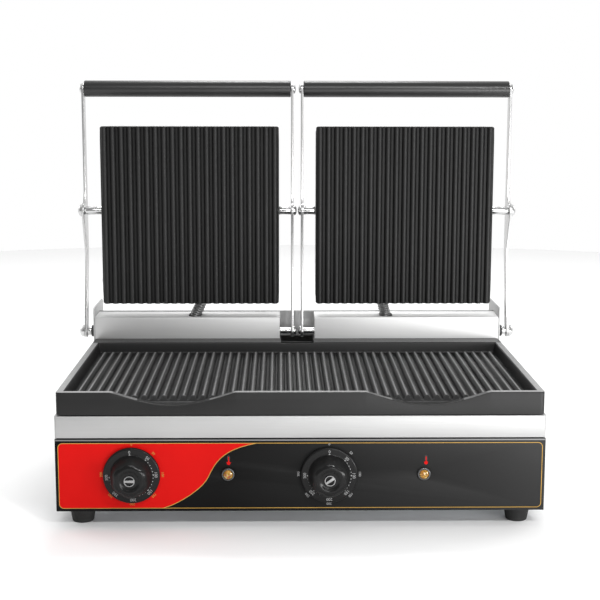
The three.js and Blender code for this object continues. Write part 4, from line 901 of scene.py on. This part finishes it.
def counter_spring(name, side):
    """A wound spring with a hook over the crank's pin and one over the anchor."""
    x = side * (CRANK_X + CRANK_THICK / 2 + CRANK_X + PIN_LENGTH) / 2
    top, bottom = np.array([x, HINGE_Y, CRANK_Z]), np.array([x, ANCHOR_Y, ANCHOR_Z])
    length = np.linalg.norm(bottom - top)
    down = (bottom - top) / length
    across = np.array([1.0, 0, 0])
    back = np.cross(across, down)

    def hook(along, start):
        angle = start + math.pi * 1.25 * np.arange(HOOK_STEPS + 1) / HOOK_STEPS
        return np.outer(along - HOOK * np.cos(angle), down) + np.outer(HOOK * np.sin(angle), back)

    turn = np.arange(TURNS * COIL_STEPS + 1) / COIL_STEPS
    angle = 2 * math.pi * turn
    coil = np.outer(LEAD + (length - 2 * LEAD) * turn / TURNS, down)
    coil += COIL * (np.outer(np.cos(angle), back) + np.outer(np.sin(angle), across))
    path = top + np.concatenate([hook(0, -math.pi / 2), coil, hook(length, math.pi / 4)])
    shape = tube(path, WIRE, 12)
    spring = make(f"extension_spring_{name}", *shape, None, *STEEL, (f"counter_spring_{name}",), 60)
    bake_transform(spring)


def conduit(name):
    """A corrugated hose in two parts, a root and a neck, split at one ripple."""
    slot_x, casing_x = CONDUIT_X[name]
    levels = np.linspace(CONDUIT_LOW, CONDUIT_HIGH, RIPPLES * RIPPLE_STEPS + 1)
    start, end = COVER_TOP - CONDUIT_RADIUS / 2, CONDUIT_HIGH - CONDUIT_RADIUS / 2
    share = np.clip((levels - start) / (end - start), 0, 1)
    share = share * share * (3 - 2 * share)
    xs = slot_x + (casing_x - slot_x) * share
    path = np.stack([xs, np.full(len(levels), CONDUIT_Y), levels], -1)
    pitch = (CONDUIT_HIGH - CONDUIT_LOW) / RIPPLES
    wave = 0.5 - 0.5 * np.cos(2 * math.pi * (levels - CONDUIT_LOW) / pitch)
    radii = ROOT_RADIUS + WAVE * wave ** 0.7
    split = RIPPLE_STEPS * SPLIT_RIPPLE
    middle = levels[split]
    for part, run, bodies, reach in (
        ("root", slice(0, split + 1), ("base", f"lid_{name}"), (FIXED_Z, middle)),
        ("neck", slice(split, None), (f"lid_{name}", f"plate_{name}"), (middle, FREE_Z)),
    ):
        hose = make(
            f"conduit_{part}_{name}", *tube(path[run], radii[run], 32, BORE), None,
            "zinc_steel", CONDUIT, (f"conduit_{name}",), 60,
        )
        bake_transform(hose)


for name, side in SIDES:
    counter_spring(name, side)
for name, side in SIDES:
    conduit(name)


# Controls

SKIRT_RADIUS, SKIRT_FRONT, SPINDLE_BORE = 28.9, -6, 3.3
BAR_LEAN = {"left": 0, "right": 35}
LENS_FACETS = 12


def dial(name):
    """A knob: a flat skirt and a six-lobed grip, rows of (radius, Y, lobe share)."""
    bore = [(0, -13, 0), (SPINDLE_BORE, -13, 0), (SPINDLE_BORE, -1, 0)]
    skin = soft([
        (SPINDLE_BORE, -1, 0), (SKIRT_RADIUS, -1, 0), (SKIRT_RADIUS, SKIRT_FRONT, 0),
        (21.3, SKIRT_FRONT, 0), (21.2, -8.6, 0.004), (20.4, -13, 0.014), (19.3, -17.5, 0.026),
        (17.9, -21.0, 0.034), (15.8, -23.2, 0.032), (13.2, -24.4, 0.012), (10.8, -24.2, 0),
        (8.3, -22.9, 0), (5.8, -22.9, 0),
    ], 1.8, 6)
    profile = bore + skin[1:] + [(0, -22.9, 0)]
    shape = lathe(profile, (KNOB_X[name], CONTROL_Z), "y", 144, 6)
    knob = f"knob_{name}"
    make(f"dial_{name}", *shape, knob, "black_moulding", MOULDING, (knob,), 50)


def dial_insert(name, hole=4.6, rim=5.5, back=-23, front=-25):
    """The bright ring in the knob's face with its plain bar."""
    x = KNOB_X[name]
    ring = soft(stretch(hole, rim, back, front) + [(hole, back)], 0.25, 3)
    pile = Pile().add(*lathe(ring, (x, CONTROL_Z), "y"))
    lean = math.radians(BAR_LEAN[name])
    cos, sin = math.cos(lean), math.sin(lean)
    corners = ((-4.8, -1.1), (4.8, -1.5), (4.8, 1.5), (-4.8, 1.1))
    mark = [(x + u * cos - v * sin, CONTROL_Z + u * sin + v * cos) for u, v in corners]
    pile.add(*slab(mark, [], front + 0.1, back - 0.2, "y", 0.15))
    pile.make(f"dial_insert_{name}", f"knob_{name}", "chrome", CHROME, (f"knob_insert_{name}",))


def lamp_ring(name, barrel=5.6, length=14, bore=5.1, lip=7.0):
    """A lamp's bezel with its barrel through the panel."""
    profile = soft([
        (bore, -2.3), (6.2, -2.3), (lip, -1.4), (lip, -SEAT), (barrel, -SEAT), (barrel, length),
        (0, length),
    ], 0.35, 3)
    profile += [(0, 1.5), (bore, 1.5), (bore, -2.3)]
    shape = lathe(profile, (LAMP_X[name], CONTROL_Z), "y")
    make(f"lamp_ring_{name}", *shape, "base", "chrome", BEZEL, (f"lamp_bezel_{name}",))


def lamp_jewel(name):
    """A lens cut in facets: rows of (radius, Y, share of a facet turned)."""
    rows = [(4.8, 1.2, 0), (4.8, -2.2, 0), (4.1, -3.1, 0.5), (2.5, -3.8, 0), (0, -4.3, 0)]
    points, faces, rings = [], [], []
    for radius, y, turned in rows:
        number = 1 if radius == 0 else LENS_FACETS
        rings.append(list(range(len(points), len(points) + number)))
        for k in range(number):
            angle = 2 * math.pi * (k + turned) / LENS_FACETS
            x = LAMP_X[name] + radius * math.sin(angle)
            points.append((x, y, CONTROL_Z + radius * math.cos(angle)))
    back, wall, crown, table, tip = rings
    faces.append(tuple(back))
    for k in range(LENS_FACETS):
        n = (k + 1) % LENS_FACETS
        faces += [
            (back[k], back[n], wall[n], wall[k]), (wall[k], wall[n], crown[k]),
            (wall[n], crown[n], crown[k]), (crown[k], crown[n], table[n]),
            (crown[k], table[n], table[k]), (table[k], table[n], tip[0]),
        ]
    make(f"lamp_jewel_{name}", points, faces, "base", "amber", AMBER, (f"lamp_lens_{name}",), 0)


for name, side in SIDES:
    dial(name)
    dial_insert(name)
    lamp_ring(name)
    lamp_jewel(name)


# Screws and feet

SCREW_Y, SCREW_Z = 300, 213.4
FOOT_INSET_X, FOOT_INSET_Y = 23.1, 27


def casing_screw(name, side):
    """A low screw head on the outer wall of an upper casing."""
    wall = UPPER_END - SEAT
    head = soft([
        (0, wall - 0.5), (4.4, wall - 0.5), (4.4, wall + 0.6), (3.0, wall + 2.4), (0, wall + 2.6),
    ], 0.5, 3)
    shape = bar(head, side, SCREW_Y, SCREW_Z, 32)
    make(f"casing_screw_{name}", *shape, f"plate_{name}", *STEEL)


def rubber_foot(row, name, x, y, low=11, high=14, bore=4, deep=8):
    """A foot that widens upwards, hollow round its screw."""
    top = FOOT_HEIGHT - SEAT
    profile = [(0, deep), (bore, deep), (bore, 0)]
    profile += soft([(bore, 0), (low, 0), (high, top), (0, top)], 1.6, 5)[1:]
    make(
        f"rubber_foot_{row}_{name}", *lathe(profile, (x, y), "z"), "base", "black_rubber", RUBBER,
        (f"foot_{row}_{name}",),
    )


for name, side in SIDES:
    casing_screw(name, side)
for row, y in (("front", FOOT_INSET_Y), ("rear", BODY_DEPTH - FOOT_INSET_Y)):
    for name, side in SIDES:
        rubber_foot(row, name, side * (HALF_BODY - FOOT_INSET_X), y)


# Printed panel: gold line, red field, painted highlight on the bend along the top

INK, OVERPRINT = 0.12, 0.02
BORDER_X, BORDER_LOW, BORDER_HIGH, BORDER_CORNER = 246.2, 21.2, 89.4, 4.5
BORDER_WIDTH, SWING_WIDTH = 0.62, 0.7
SWING = [
    (-46, 89.2), (-56, 86.8), (-67.3, 82.9), (-75.5, 78.4), (-82.5, 72.6), (-87.6, 66.2),
    (-91.6, 59.4), (-95.2, 52.2), (-100.2, 45.6), (-106.6, 39.8), (-114.0, 34.2),
    (-122.6, 28.9), (-131.5, 24.4), (-140, 21.4),
]


def printed(ring, front, thickness=INK):
    """A thin printed area on a front face, as a closed slab."""
    return prism(ring, front - thickness, front)


def ribbon(path, width, front, closed=False, thickness=INK):
    """A printed line of constant width along a path."""
    path = np.array(path, float)
    count = len(path)
    along = np.roll(path, -1, 0) - np.roll(path, 1, 0)
    if not closed:
        along[0], along[-1] = path[1] - path[0], path[-1] - path[-2]
    along = along / np.linalg.norm(along, axis=1)[:, None]
    side = np.stack([-along[:, 1], along[:, 0]], 1) * width / 2
    edges = (path + side, path - side)
    points = [(u, y, v) for y in (front - thickness, front) for edge in edges for u, v in edge]
    faces = []
    for i in range(count if closed else count - 1):
        n = (i + 1) % count
        for one, two in ((0, 1), (1, 3), (3, 2), (2, 0)):
            one, two = one * count, two * count
            faces.append((one + i, one + n, two + n, two + i))
    if not closed:
        faces.append((0, count, 3 * count, 2 * count))
        faces.append((count - 1, 3 * count - 1, 4 * count - 1, 2 * count - 1))
    return points, faces


def smooth_path(points, steps=6):
    """A Catmull-Rom curve through points."""
    p = np.array(points, float)
    p = [2 * p[0] - p[1], *p, 2 * p[-1] - p[-2]]
    out = []
    for a, b, c, d in zip(p, p[1:], p[2:], p[3:]):
        for k in range(steps):
            t = k / steps
            out.append(0.5 * (
                2 * b + (c - a) * t + (2 * a - 5 * b + 4 * c - d) * t * t
                + (3 * b - a - 3 * c + d) * t ** 3
            ))
    out.append(p[-2])
    return out


def border_corner(sign, upper, start, end):
    """One rounded corner of the border, at the left or right and low or high."""
    z = BORDER_HIGH - BORDER_CORNER if upper else BORDER_LOW + BORDER_CORNER
    return arc(sign * (BORDER_X - BORDER_CORNER), z, BORDER_CORNER, start, end, 8)


def panel_print():
    """The gold border and the gold swing, whose path is returned."""
    border = border_corner(1, False, -90, 0) + border_corner(1, True, 0, 90)
    border += border_corner(-1, True, 90, 180) + border_corner(-1, False, 180, 270)
    swing = smooth_path(SWING)
    gold = Pile().add(*ribbon(border, BORDER_WIDTH, 0, True))
    gold.add(*ribbon(swing, SWING_WIDTH, 0, False, INK + OVERPRINT))
    gold.make("gold_lines", "base", "black_paint", PRINT_GOLD, (), 0)
    return swing


def panel_bend(reach=1.9, depth=1.4, end_gap=0.8, stand=0.02):
    """The panel's top bend, drawn in grey steel instead of black paint: a painted highlight along the top
    edge.
    """
    low, high, x = PANEL_TOP - reach, PANEL_TOP - 0.1, HALF_BODY - end_gap
    bend = soft([(-stand, low), (-stand, high), (depth, high), (depth, low)], 1.1, 6)
    make("panel_bend", *prism(bend, -x, x, "x"), "base", "black_paint", EDGE_HIGHLIGHT_STEEL)


def red_field(swing):
    ring = [(BORDER_CORNER - BORDER_X, BORDER_HIGH)] + [tuple(p) for p in swing]
    ring += [(SWING[-1][0] - 1, BORDER_LOW)] + border_corner(-1, False, 270, 180)
    ring += border_corner(-1, True, 180, 90)[:-1]
    make("red_field", *printed(ring, 0, INK / 2), "base", "black_paint", PAINT_RED, (), 0)


# Numbers, dots and heat signs

SCALE_TEXTS = ("0", "50", "100", "150", "200", "250", "300")
SCALE_STEP, DOTS_BETWEEN, BOLD_STEPS = 45, 5, 3
PANEL_RADIUS, PANEL_SIZE = 31.2, 3.6
DIAL_RADIUS, DIAL_SIZE, DOT_RING = 24.9, 4.2, 22.1
MAIN_DOT, BOLD_DOT, FINE_DOT = 0.8, 0.52, 0.3
DIAL_LAG = {"left": 3.5, "right": 0}
SIGN_SHIFT = {"left": 0.6, "right": 1.9}


def letters(text, size, x, z, front, turned=0.0, thickness=INK):
    """Numbers as thin print: the middle at x and z, turned clockwise in degrees."""
    curve = bpy.data.curves.new("print", "FONT")
    curve.body = text
    curve.size = size
    curve.align_x = curve.align_y = "CENTER"
    curve.resolution_u = 3
    curve.extrude = thickness / 2
    corners, faces = taken("print", curve)
    angle = math.radians(turned)
    cos, sin = math.cos(angle), math.sin(angle)
    points = []
    for u, v, w in corners:
        points.append((x + u * cos + v * sin, front - thickness / 2 - w, z - u * sin + v * cos))
    return points, faces


def around(x, radius, degrees):
    """A place on a ring round a dial, clockwise from the top."""
    angle = math.radians(degrees)
    return x + radius * math.sin(angle), CONTROL_Z + radius * math.cos(angle)


def dot(x, degrees, radius):
    return printed(circle(*around(x, DOT_RING, degrees), radius, 16), SKIRT_FRONT)


def scales(name):
    """The numbers on panel and skirt round a dial, with dots between them."""
    x = KNOB_X[name]
    on_panel, on_dial = Pile(), Pile()
    for place, text in enumerate(SCALE_TEXTS):
        degrees = SCALE_STEP * place
        on_panel.add(*letters(text, PANEL_SIZE, *around(x, PANEL_RADIUS, degrees), 0, degrees))
        degrees -= DIAL_LAG[name]
        middle = around(x, DIAL_RADIUS, degrees)
        on_dial.add(*letters(text, DIAL_SIZE, *middle, SKIRT_FRONT, degrees))
        on_dial.add(*dot(x, degrees, MAIN_DOT))
        if 0 < place < len(SCALE_TEXTS) - 1:
            radius = BOLD_DOT if place < BOLD_STEPS else FINE_DOT
            for k in range(1, DOTS_BETWEEN):
                on_dial.add(*dot(x, degrees + SCALE_STEP / DOTS_BETWEEN * k, radius))
    ink = PRINT_GOLD if name == "left" else PRINT_PALE
    on_panel.make(f"panel_scale_{name}", "base", "black_paint", ink, (), 0)
    on_dial.make(f"dial_scale_{name}", f"knob_{name}", "black_moulding", PRINT_PALE, (), 0)


def heat_sign(name, foot=69.5, top=74.6, stem=0.5, bulb_z=68.4, bulb=1.8, wing=2.5, edge=1.0):
    """A small thermometer over a lamp, a dim line round its top."""
    x = LAMP_X[name] + SIGN_SHIFT[name]
    tube_ring = [(x - stem, foot), (x + stem, foot)] + arc(x, top, stem, 0, 180, 8)
    bulb_ring = [(x - wing, bulb_z + 0.5)] + arc(x, bulb_z, bulb, 160, 380)
    bulb_ring += [(x + wing, bulb_z + 0.5), (x, bulb_z + 2.2)]
    sign = Pile().add(*printed(tube_ring, 0))
    sign.add(*printed(bulb_ring, 0, INK + OVERPRINT))
    sign.make(f"heat_sign_{name}", "base", "black_paint", PRINT_RED, (), 0)
    low, high = top - 3.4, top + 0.6
    path = [(x - edge, low), (x - edge, high)] + arc(x, high, edge, 180, 0, 8) + [(x + edge, low)]
    make(f"heat_sign_edge_{name}", *ribbon(path, 0.25, 0), "base", "black_paint", PRINT_DIM, (), 0)


swing = panel_print()
panel_bend()
red_field(swing)
for name, side in SIDES:
    scales(name)
    heat_sign(name)


# Floor, sky and lamps

FLOOR_RADIUS, FLOOR_CORNERS = 2.3, 96

floor_mesh = bpy.data.meshes.new("floor")
edge = [(u, v, 0) for u, v in circle(0, 0, FLOOR_RADIUS, FLOOR_CORNERS)]
floor_mesh.from_pydata(edge, [], [tuple(range(FLOOR_CORNERS))])
floor = linked("floor", floor_mesh)
floor_look = Look("floor_pale", {"Roughness": 0.9, "Specular IOR Level": 0.1})
floor_look.colour(floor_look.noise(2, 2), (0.3, grey(0.92)), (0.7, grey(0.93)))
floor.data.materials.append(floor_look.material)

bpy.context.scene.view_settings.view_transform = "Standard"
world = bpy.data.worlds.new("studio")
bpy.context.scene.world = world
world.use_nodes = True
sky = world.node_tree
place = add_node(sky, "TexCoord", {}, {}).outputs["Generated"]
depth = add_node(sky, "SeparateXYZ", {}, {"Vector": place}).outputs["Y"]
SKY_RANGE = {"From Min": -0.8, "From Max": 0.35, "To Min": 0.32, "To Max": 1.0}
strength = add_node(sky, "MapRange", SKY_RANGE, {"Value": depth}).outputs["Result"]
sky.links.new(strength, sky.nodes["Background"].inputs["Strength"])
sky.nodes["Background"].inputs["Color"].default_value = (1, 1, 1, 1)


def area(name, place, aim, size, power):
    """A soft lamp at a place, turned to an aim, with its size and its power in watts."""
    data = bpy.data.lights.new(name, "AREA")
    data.shape = "RECTANGLE"
    data.size, data.size_y = size
    data.energy = power
    light = linked(name, data)
    light.location = place
    light.rotation_mode = "QUATERNION"
    light.rotation_quaternion = (Vector(aim) - Vector(place)).to_track_quat("-Z", "Y")


area("key", (0.85, -1.0, 0.13), (0.2, -0.05, 0.12), (0.6, 0.22), 7)
area("front", (0.33, -1.15, 0.2), (0.15, 0.1, 0.15), (0.45, 0.12), 2.3)
area("spark", (0.6, -1.3, 1.0), (-0.1, -0.2, 0.06), (0.1, 0.1), 5)
area("strip", (0.2, -1.7, 1.45), (0, 0, 0.35), (1.3, 0.18), 13)
area("crest", (0, 1.2, 2.1), (0, -0.05, 0.13), (0.7, 0.5), 20)
area("side_right", (1.7, 0.9, 1.1), (0, -0.05, 0.2), (0.8, 0.8), 7)
area("side_left", (-1.7, 0.9, 1.1), (0, -0.05, 0.2), (0.8, 0.8), 5)
